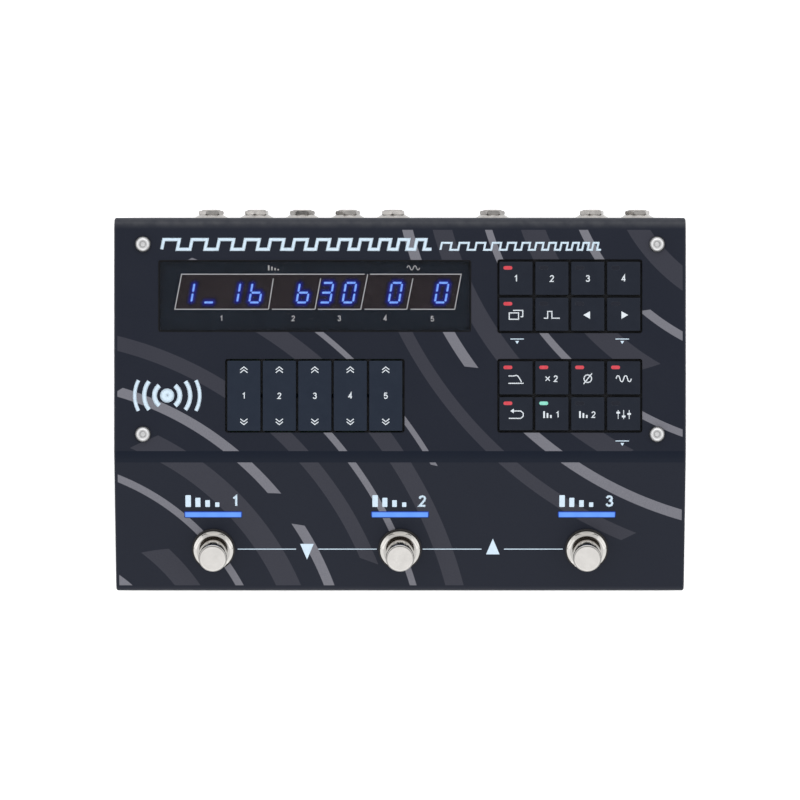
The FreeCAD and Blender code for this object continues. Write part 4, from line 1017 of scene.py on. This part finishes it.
# The display: a dark border under the lens, slanted frames and figures on it, and digits behind it
display = {
    "digitTop": 57.8,
    "filmTop": 57.825,
    "borderBottom": 57.965,
    "border": (-116.0, 35.2, 30.8, 67.8),  # left, right, front and rear
    "film": (-115.5, 34.7, 31.4, 67.2),
    "filmCorner": 1.0,
    "rows": (43.0, 59.6),  # the lower and the upper line of the frames
    "line": 0.5,
    "gap": (-16.8, -14.2),  # in the upper line
    "middleTop": -15.3,
    "sidesShort": 2.0,
    "figure": 2.7,
    "bars": ((2.4, 0.7), (1.8, 0.7), (1.2, 0.7), (0.7, 0.7)),
    "barPlace": (-62.2, 61.4),
    "barStep": 1.5,
    "barCorner": 0.1,
    "wave": (0.5, 1.0, 0.45, 6.3, 62.6),  # step, height, line and place
}
fields = [
    {"bottom": (-106.7, -62.3), "top": (-103.5, -60.0), "figure": (-84.6, 38.7)},
    {"bottom": (-60.7, -40.3), "top": (-58.2, -37.6), "figure": (-50.6, 38.7)},
    {"bottom": (-38.9, -18.6), "top": (-36.4, -15.5), "figure": (-28.8, 38.7)},
    {"bottom": (-16.8, 3.2), "top": (-14.3, 6.1), "figure": (-7.0, 38.7)},
    {"bottom": (5.0, 25.9), "top": (7.6, 29.0), "figure": (15.3, 38.5)},
]


def makeLensMarks():
    low, high = display["rows"]
    line = display["line"]
    gapLeft, gapRight = display["gap"]
    outlines = []
    for field in fields:
        left, right = field["bottom"]
        outlines.append([(left, low), (right, low)])
    first, middle, last = outlines[0], outlines[2], outlines[4]
    first.reverse()
    first.extend([(fields[0]["top"][0], high), (gapLeft, high)])
    middle.append((display["middleTop"], high))
    last.extend([(fields[4]["top"][1], high), (gapRight, high)])
    for i in (0, 1, 3):
        outlines.append([(fields[i]["bottom"][1], low), (fields[i]["top"][1], high - display["sidesShort"])])
    parts = [inkLine(outline, line) for outline in outlines]
    for i, field in enumerate(fields, 1):
        parts += inkFigure(str(i), display["figure"], *field["figure"])
    parts += fallingBars(display["bars"], *display["barPlace"], display["barStep"], display["barCorner"])
    parts.append(inkWave(*display["wave"]))
    return parts


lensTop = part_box("display_window")[1].z / mm
gather(makeLensMarks(), "lensMarks", "housing", greyInk, at(0, 0, lensTop))

borderLook = {
    "colour": (0.0147, 0.0250, 0.0407), "second": (0.0162, 0.0274, 0.0444),
    "roughness": (0.5, 0.6), "shine": 0.1, "grain": 0.3, "depth": 0.003,
}
borderRim = 0.1  # how far its edge stays off the middle of the grey lines


def inField(x, y):  # whether a point lies in one of the slanted fields
    low, high = display["rows"]
    share = (y - low) / (high - low)
    for field in fields:
        left, right = (foot + (head - foot) * share for foot, head in zip(field["bottom"], field["top"]))
        if low < y < high and left < x < right:
            return True
    return False


def makeLensBorder():
    # A sheet of ink under the lens with a clear field in each frame, cut from one plane by slanted lines.
    low, high = display["rows"]
    left, right, front, rear = display["border"]
    obj = plate(right - left, rear - front, (left + right) / 2, (front + rear) / 2)
    bpy.ops.object.mode_set(mode="EDIT")
    for y in (low + borderRim, high - borderRim):
        selectAll()
        bpy.ops.mesh.bisect(plane_co=(0, y * mm, 0), plane_no=(0, 1, 0))
    for field in fields:
        for i, rim in ((0, borderRim), (1, -borderRim)):
            foot = Vector((field["bottom"][i] + rim, low, 0)) * mm
            head = Vector((field["top"][i] + rim, high, 0)) * mm
            run = head - foot
            selectAll()
            bpy.ops.mesh.bisect(plane_co=foot, plane_no=(run.y, -run.x, 0))
    selectFaces(obj, lambda face: inField(face.center.x / mm, face.center.y / mm))
    bpy.ops.mesh.delete(type="FACE")
    thicken(ink["film"])
    leaveMesh()
    return obj


borderInk = makeFinish("borderInk", borderLook)
underLens = at(0, 0, display["borderBottom"])
gather([makeLensBorder()], "lensBorder", "housing", borderInk, underLens)

digits = {
    "places": (-100.65, -89.9, -78.9, -68.25, -56.6, -45.8, -34.85, -23.95, -12.95, -2.15, 9.0, 19.8),
    "shown": "1_16 630 0 0",
    "y": 50.9,
    "lean": 10,
    "reach": 2.45,
    "rise": 4.65,
    "thick": 0.95,
    "shorter": (0.8, 1.0),  # how much a flat and an upright segment fall short of the way between two corners
    "haloThick": 5.4,
    "haloSlope": 0.45,  # of its width
    "haloTall": 0.06,
    "unlit": {"colour": (0.0282, 0.0233, 0.0282), "second": (0.0314, 0.0258, 0.0314)},
    "lamp": {"lit": (0.15, 0.32, 1.0), "core": (0.24, 0.48, 1.0), "strength": 1.3, "patch": 1.2},
}
segments = {"0": "abcdef", "1": "bc", "3": "abcdg", "6": "cdefg", "_": "d", " ": ""}


def makeSegment(long, thick):
    # A bar with pointed ends: a hexagon whose two halves are drawn apart.
    radius = thick / math.sqrt(3) * mm
    obj = added(bpy.ops.mesh.primitive_circle_add, vertices=6, radius=radius, fill_type="NGON")
    finishShape(obj, turn=30)
    for corner in obj.data.vertices:
        corner.co.x += math.copysign((long - thick) / 2 * mm, corner.co.x)
    editMesh()
    thicken(ink["film"])
    leaveMesh()
    return obj


def makeHalo(long):
    # The glow in the epoxy round a segment, as a low ridge: its height is the strength of the glow.
    thick = digits["haloThick"]
    obj = makeSegment(long + thick - digits["thick"], thick)
    raiseTop(obj, thick * digits["haloSlope"], digits["haloTall"])
    return obj


def placeSegments(patterns, wanted):
    # Copies of the flat and the upright pattern for each segment of each digit that is wanted lit or unlit.
    a, b = digits["reach"], digits["rise"]
    layout = {
        "a": (0, b, 0), "b": (a, b / 2, 90), "c": (a, -b / 2, 90), "d": (0, -b, 0),
        "e": (-a, -b / 2, 90), "f": (-a, b / 2, 90), "g": (0, 0, 0),
    }
    copies = []
    for x, figure in zip(digits["places"], digits["shown"]):
        for letter, (dx, dy, turn) in layout.items():
            if (letter in segments[figure]) == wanted:
                copy = duplicate(patterns[1] if turn else patterns[0])
                finishShape(copy, dx, dy, turn)
                copies.append(finishShape(copy, x, digits["y"], lean=digits["lean"]))
    return copies


haloLook = {
    "glow": (0.0030, 0.0070, 0.460),
    "falloff": 2.1,
    "flicker": (1.2, 0.85, 1.0),
    "base": (0.029, 0.024, 0.029),
    "drowned": (0.016, 0.018, 0.029),
    "drowning": 1.6,  # how soon the epoxy's own colour gives way to the glow
    "shine": 0.1,
    "roughness": (1.0, 0.4, 0.5),
}


def makeHaloGlow():
    # The glow follows the height of the ridge that carries it.
    settings = {"Emission Strength": 1.0, "Specular IOR Level": haloLook["shine"]}
    material, tree, shader = bareMaterial("digitHalo", settings)
    height = axesOf(tree, position(tree))["Z"]
    foot = display["filmTop"] + ink["lift"] + ink["film"]
    share = maths(tree, "DIVIDE", minus(tree, height, foot), digits["haloTall"], clamp=True)
    fading = maths(tree, "POWER", share, haloLook["falloff"])
    glow = blend(tree, times(tree, fading, uneven(tree, *haloLook["flicker"])), (0, 0, 0), haloLook["glow"])
    drowned = times(tree, share, haloLook["drowning"], clamp=True)
    base = blend(tree, drowned, haloLook["base"], haloLook["drowned"])
    roughness = uneven(tree, *haloLook["roughness"])
    feed(tree, shader, {"Base Color": base, "Emission Color": glow, "Roughness": roughness})
    return material


def makeDigits():
    lengths = [
        way - shorter for way, shorter in zip((2 * digits["reach"], digits["rise"]), digits["shorter"])
    ]
    bars = [makeSegment(long, digits["thick"]) for long in lengths]
    halos = [makeHalo(long) for long in lengths]
    onFilm = at(0, 0, display["filmTop"])
    overHalos = at(0, 0, display["filmTop"] + ink["film"] + digits["haloTall"])
    blueLamp = makeLamp("digitBlue", digits["lamp"])
    unlitEpoxy = makeFinish("unlitEpoxy", finishes["digitEpoxy"] | digits["unlit"])
    gather(placeSegments(bars, True), "litSegments", "housing", blueLamp, overHalos)
    gather(placeSegments(halos, True), "litHalos", "housing", makeHaloGlow(), onFilm)
    gather(placeSegments(bars, False), "unlitSegments", "housing", unlitEpoxy, onFilm)
    for pattern in bars + halos:
        bpy.data.objects.remove(pattern)


def makeDisplayFilm():
    # A brown film on the digit modules, trimmed at its corners, so that the board doesn't show between them.
    left, right, front, rear = display["film"]
    middle = ((left + right) / 2, (front + rear) / 2)
    return inkBar(right - left, rear - front, *middle, display["filmCorner"])


moduleEpoxy = nodes["digit_modules"].data.materials[0]
onDigits = at(0, 0, display["digitTop"])
gather([makeDisplayFilm()], "displayFilm", "housing", moduleEpoxy, onDigits)
makeDigits()

# Black strips round the lens as painted shade: one in the gap round it, where shade falls, and a thin one
# over its rounded edge, which keeps that edge dark
lensGapShade = {
    "hole": (148.3, 34.1),
    "corner": 1.1,
    "cornerSteps": 4,
    "gapStrip": {"inner": (147.7, 33.5), "bottom": 59.02, "tall": 1.3},
    "lip": {"inner": (146.8, 32.6), "bottom": 60.82, "tall": 0.05},
    "look": {
        "colour": (0.0060, 0.0065, 0.0080), "second": (0.0085, 0.0090, 0.0110), "patch": 1.5,
        "roughness": (0.8, 0.95), "shine": 0.1, "grain": 0.15, "depth": 0.03,
    },
}


def makeSealFrame(frameSize):
    # A frame with rounded corners about the middle of the lens: a plate, inset, emptied and thickened.
    middle = topOf("display_window") / mm
    width, height = lensGapShade["hole"]
    obj = plate(width, height, middle.x, middle.y)
    editMesh()
    bpy.ops.mesh.bevel(offset=lensGapShade["corner"] * mm, segments=lensGapShade["cornerSteps"], affect="VERTICES")
    bpy.ops.mesh.select_mode(type="FACE")
    selectAll()
    bpy.ops.mesh.inset(thickness=(width - frameSize["inner"][0]) / 2 * mm)
    bpy.ops.mesh.delete(type="FACE")
    thicken(frameSize["tall"])
    leaveMesh()
    obj.data.transform(at(0, 0, frameSize["bottom"]))
    return obj


paintedGapShade = makeFinish("paintedGapShade", lensGapShade["look"])
gapShadeFrames = [makeSealFrame(lensGapShade["gapStrip"]), makeSealFrame(lensGapShade["lip"])]
gather(gapShadeFrames, "lensGapShadeStrips", "housing", paintedGapShade, Matrix.Identity(4))
print("display made")

# The keys' lamp windows, each seated in its pocket
keyWindow = {
    "length": 4.2,
    "width": 1.7,
    "tall": 0.47,
    "place": (-3.85, 4.95, -0.5),  # from the middle of the key's top
    "rim": 0.16,
    "step": 0.02,
    "sides": 24,
    "inMiddle": 1e-4,  # corners nearer the middle than this stay there
    "dark": {
        "colour": (0.0070, 0.0085, 0.0150), "second": (0.0090, 0.0105, 0.0175),
        "roughness": (0.30, 0.42), "shine": 0.2, "grain": 0.3, "depth": 0.004,
    },
}
redLamp = {"lit": (0.62, 0.050, 0.070), "core": (0.70, 0.080, 0.105), "strength": 0.95, "patch": 1.5}
greenLamp = dict(redLamp, lit=(0.22, 0.66, 0.52), core=(0.34, 0.82, 0.68))
lampLooks = {
    "red": ("key_lamp_red", makeLamp("windowRed", redLamp)),
    "green": ("key_lamp_green", makeLamp("windowGreen", greenLamp)),
    "off": ("key_lamp_dark", makeFinish("windowDark", keyWindow["dark"])),
}
lamps = {"upper_key_1": "red", "upper_key_5": "red", "lower_key_6": "green"}
lamps.update({f"lower_key_{i}": "red" for i in range(1, 6)})


def makeKeyWindow():
    # A short rounded bar with a shallow step round its top.
    size = {"radius": keyWindow["width"] / 2 * mm, "depth": keyWindow["tall"] * mm}
    obj = added(bpy.ops.mesh.primitive_cylinder_add, vertices=keyWindow["sides"], **size)
    obj.data.transform(at(0, 0, keyWindow["tall"] / 2))
    stretch = (keyWindow["length"] - keyWindow["width"]) / 2 * mm
    for corner in obj.data.vertices:
        if abs(corner.co.x) > keyWindow["inMiddle"] * mm:
            corner.co.x += math.copysign(stretch, corner.co.x)
    raiseTop(obj, keyWindow["rim"], keyWindow["step"])
    return finishShape(obj)


windowPattern = makeKeyWindow()
for name in keyNames:
    spot = Matrix.Translation(topOf(name)) @ at(*keyWindow["place"])
    slotName, material = lampLooks[lamps.get(name, "off")]
    gather([duplicate(windowPattern)], name + "_window", name, material, spot)
bpy.data.objects.remove(windowPattern)

# Printed marks on the keys: plain figures, arrows and signs
signs = {
    "line": 0.55,
    "figure": 3.3,
    "figureUp": 0.3,
    "drop": -0.4,
    "arrow": (3.6, 3.2),
    "wave": (0.6, 1.5),  # step and height
    "circle": 1.8,
    "circleSteps": 24,
    "returnArrow": (2.2, 1.7),
    "twice": {"crossX": -2.0, "figure": 3.2, "figureX": 1.8},
}
echo = {
    "figure": 3.2,
    "figureX": 2.7,
    "bars": ((3.2, 0.8), (2.3, 0.8), (1.4, 0.8)),
    "x": -3.7,
    "step": 1.6,
    "corner": 0.1,
}
slider = {
    "reach": 2.1,
    "line": 0.4,
    "knob": (1.7, 0.9),
    "corner": 0.15,
    "knobs": ((-2.6, 0.9), (0.0, -0.9), (2.6, 0.3)),  # where each knob stands
}


def lines(*strokes, **shape):
    return [inkLine(stroke, signs["line"], **shape) for stroke in strokes]


def echoSign(figure):  # a figure beside a falling row of bars
    bars = fallingBars(echo["bars"], echo["x"], -echo["figure"] / 2, echo["step"], echo["corner"])
    return inkFigure(figure, echo["figure"], echo["figureX"], 0) + bars


def twoFrames():
    front = [(-3.2, -2.0), (1.2, -2.0), (1.2, 1.0), (-3.2, 1.0)]
    rear = [(-1.2, 1.9), (-1.2, 2.2), (3.2, 2.2), (3.2, -0.8), (2.2, -0.8)]
    return lines(front, closed=True) + lines(rear)


def pulseSign():
    return lines([(-3.8, -1.5), (-2.0, -1.5), (-2.0, 1.7), (0.0, 1.7), (0.0, -1.5), (3.8, -1.5)])


def filterSign():
    curve = [(-3.6, 1.3), (-1.0, 1.3), (0.4, 1.5), (1.6, 0.2), (2.6, -1.6)]
    return lines(curve, smooth=True) + lines([(-3.6, -2.2), (3.6, -2.2)])


def twiceSign():
    twice = signs["twice"]
    cross = lines([(-1.0, -1.0), (1.0, 1.0)], [(-1.0, 1.0), (1.0, -1.0)], x=twice["crossX"])
    return cross + inkFigure("2", twice["figure"], twice["figureX"], 0)


def phaseSign():
    circle = inkArc(signs["circle"], signs["line"], 0, 360, steps=signs["circleSteps"])
    return [circle] + lines([(-2.0, -2.5), (2.0, 2.5)])


def returnSign():
    loop = [(-3.4, -1.8), (2.2, -1.8), (3.4, -0.8), (3.4, 0.7), (2.2, 1.7), (-1.0, 1.7)]
    return lines(loop) + [inkTriangle(*signs["returnArrow"], -1.6, 1.7, 90)]


def sliderSign():
    parts = []
    reach = slider["reach"]
    for x, y in slider["knobs"]:
        parts.append(inkLine([(0, -reach), (0, reach)], slider["line"], x, 0))
        parts.append(inkBar(*slider["knob"], x, y, slider["corner"]))
    return parts


keyMarks = {
    "upper_key_5": twoFrames,
    "upper_key_6": pulseSign,
    "upper_key_7": lambda: [inkTriangle(*signs["arrow"], turn=90)],
    "upper_key_8": lambda: [inkTriangle(*signs["arrow"], turn=-90)],
    "lower_key_1": filterSign,
    "lower_key_2": twiceSign,
    "lower_key_3": phaseSign,
    "lower_key_4": lambda: [inkWave(*signs["wave"], signs["line"])],
    "lower_key_5": returnSign,
    "lower_key_6": lambda: echoSign("1"),
    "lower_key_7": lambda: echoSign("2"),
    "lower_key_8": sliderSign,
}
for i in range(1, 5):
    keyMarks[f"upper_key_{i}"] = lambda i=i: inkFigure(str(i), signs["figure"], 0, signs["figureUp"])

for name in keyNames:
    spot = Matrix.Translation(topOf(name)) @ at(0, signs["drop"])
    gather(keyMarks[name](), name + "_mark", name, whiteInk, spot)

chevron = {"wide": 3.4, "tall": 1.35, "step": 1.4, "away": 12.3, "line": 0.5, "figure": 3.1}


def makeRockerMarks(figure):  # a figure between two pairs of chevrons
    parts = inkFigure(figure, chevron["figure"])
    half = chevron["wide"] / 2
    for side in (-1, 1):
        rise = side * chevron["tall"] / 2
        for step in (-0.5, 0.5):
            y = side * chevron["away"] + step * chevron["step"]
            parts.append(inkLine([(-half, -rise), (0, rise), (half, -rise)], chevron["line"], 0, y))
    return parts


for i, name in enumerate(rockerNames, 1):
    spot = Matrix.Translation(topOf(name))
    gather(makeRockerMarks(str(i)), name + "_mark", name, whiteInk, spot)
print("keys marked and lit")

# Floor, light and camera, in metres

floorLook = {
    "colour": (0.93, 0.93, 0.93), "second": (0.95, 0.95, 0.95), "patch": 300.0,
    "roughness": (0.8, 0.9), "shine": 0.1, "grain": 4.0, "depth": 0.02,
}
floor = {"size": 30, "glow": 0.30}


def makeFloor():
    obj = added(bpy.ops.mesh.primitive_plane_add, size=floor["size"])
    obj.name = "studioFloor"
    material = makeFinish("paleFloor", floorLook)
    tree, shader = inside(material)
    feed(tree, shader, {"Emission Color": (1, 1, 1, 1), "Emission Strength": floor["glow"]})
    obj.data.materials.append(material)


makeFloor()

# Brightness of the room by the height of the direction: 1 is straight above, 0 level with the floor
studio = ((0.0, 1.55), (0.60, 1.45), (0.80, 1.12), (0.985, 0.90), (0.9925, 0.50), (0.9965, 0.08), (1.0, 0.08))


def makeSky():
    # An even white room, dimmer straight above where the camera hangs.
    world = bpy.data.worlds.new("studioRoom")
    world.use_nodes = True
    bpy.context.scene.world = world
    tree = world.node_tree
    up = axesOf(tree, node(tree, "ShaderNodeTexCoord").outputs["Generated"])["Z"]
    brightest = studio[0][1]
    tones = makeRamp(tree, up, [(height, brightness / brightest) for height, brightness in studio])
    feed(tree, tree.nodes["Background"], {"Color": tones, "Strength": brightest})


makeSky()

softboxes = {
    "softboxFront": {"at": (0.0, -2.1, 1.15), "power": 9.0},
    "softboxLeft": {"at": (-2.0, 0.3, 1.2), "power": 6.0},
    "softboxRight": {"at": (2.0, 0.3, 1.2), "power": 6.0},
    "softboxRear": {"at": (0.0, 1.9, 1.4), "power": 12.0},
}
softboxSize = (2.6, 1.8)
for name, box in softboxes.items():
    light = added(bpy.ops.object.light_add, type="AREA", location=box["at"])
    light.name = name
    light.data.shape = "RECTANGLE"
    light.data.size, light.data.size_y = softboxSize
    light.data.energy = box["power"]
    light.rotation_euler = (-Vector(box["at"])).to_track_quat("-Z", "Y").to_euler()

camera = {"height": 2.911, "lens": 270.7, "sensor": 36.0, "nearest": 0.1, "farthest": 60}
cam = added(bpy.ops.object.camera_add, location=(0, 0, camera["height"]), rotation=(0, 0, 0))
cam.name = "overheadCamera"
cam.data.lens = camera["lens"]
cam.data.sensor_width = camera["sensor"]
cam.data.clip_start = camera["nearest"]
cam.data.clip_end = camera["farthest"]
bpy.context.scene.camera = cam
bpy.context.scene.view_settings.view_transform = "Standard"
print("studio ready")
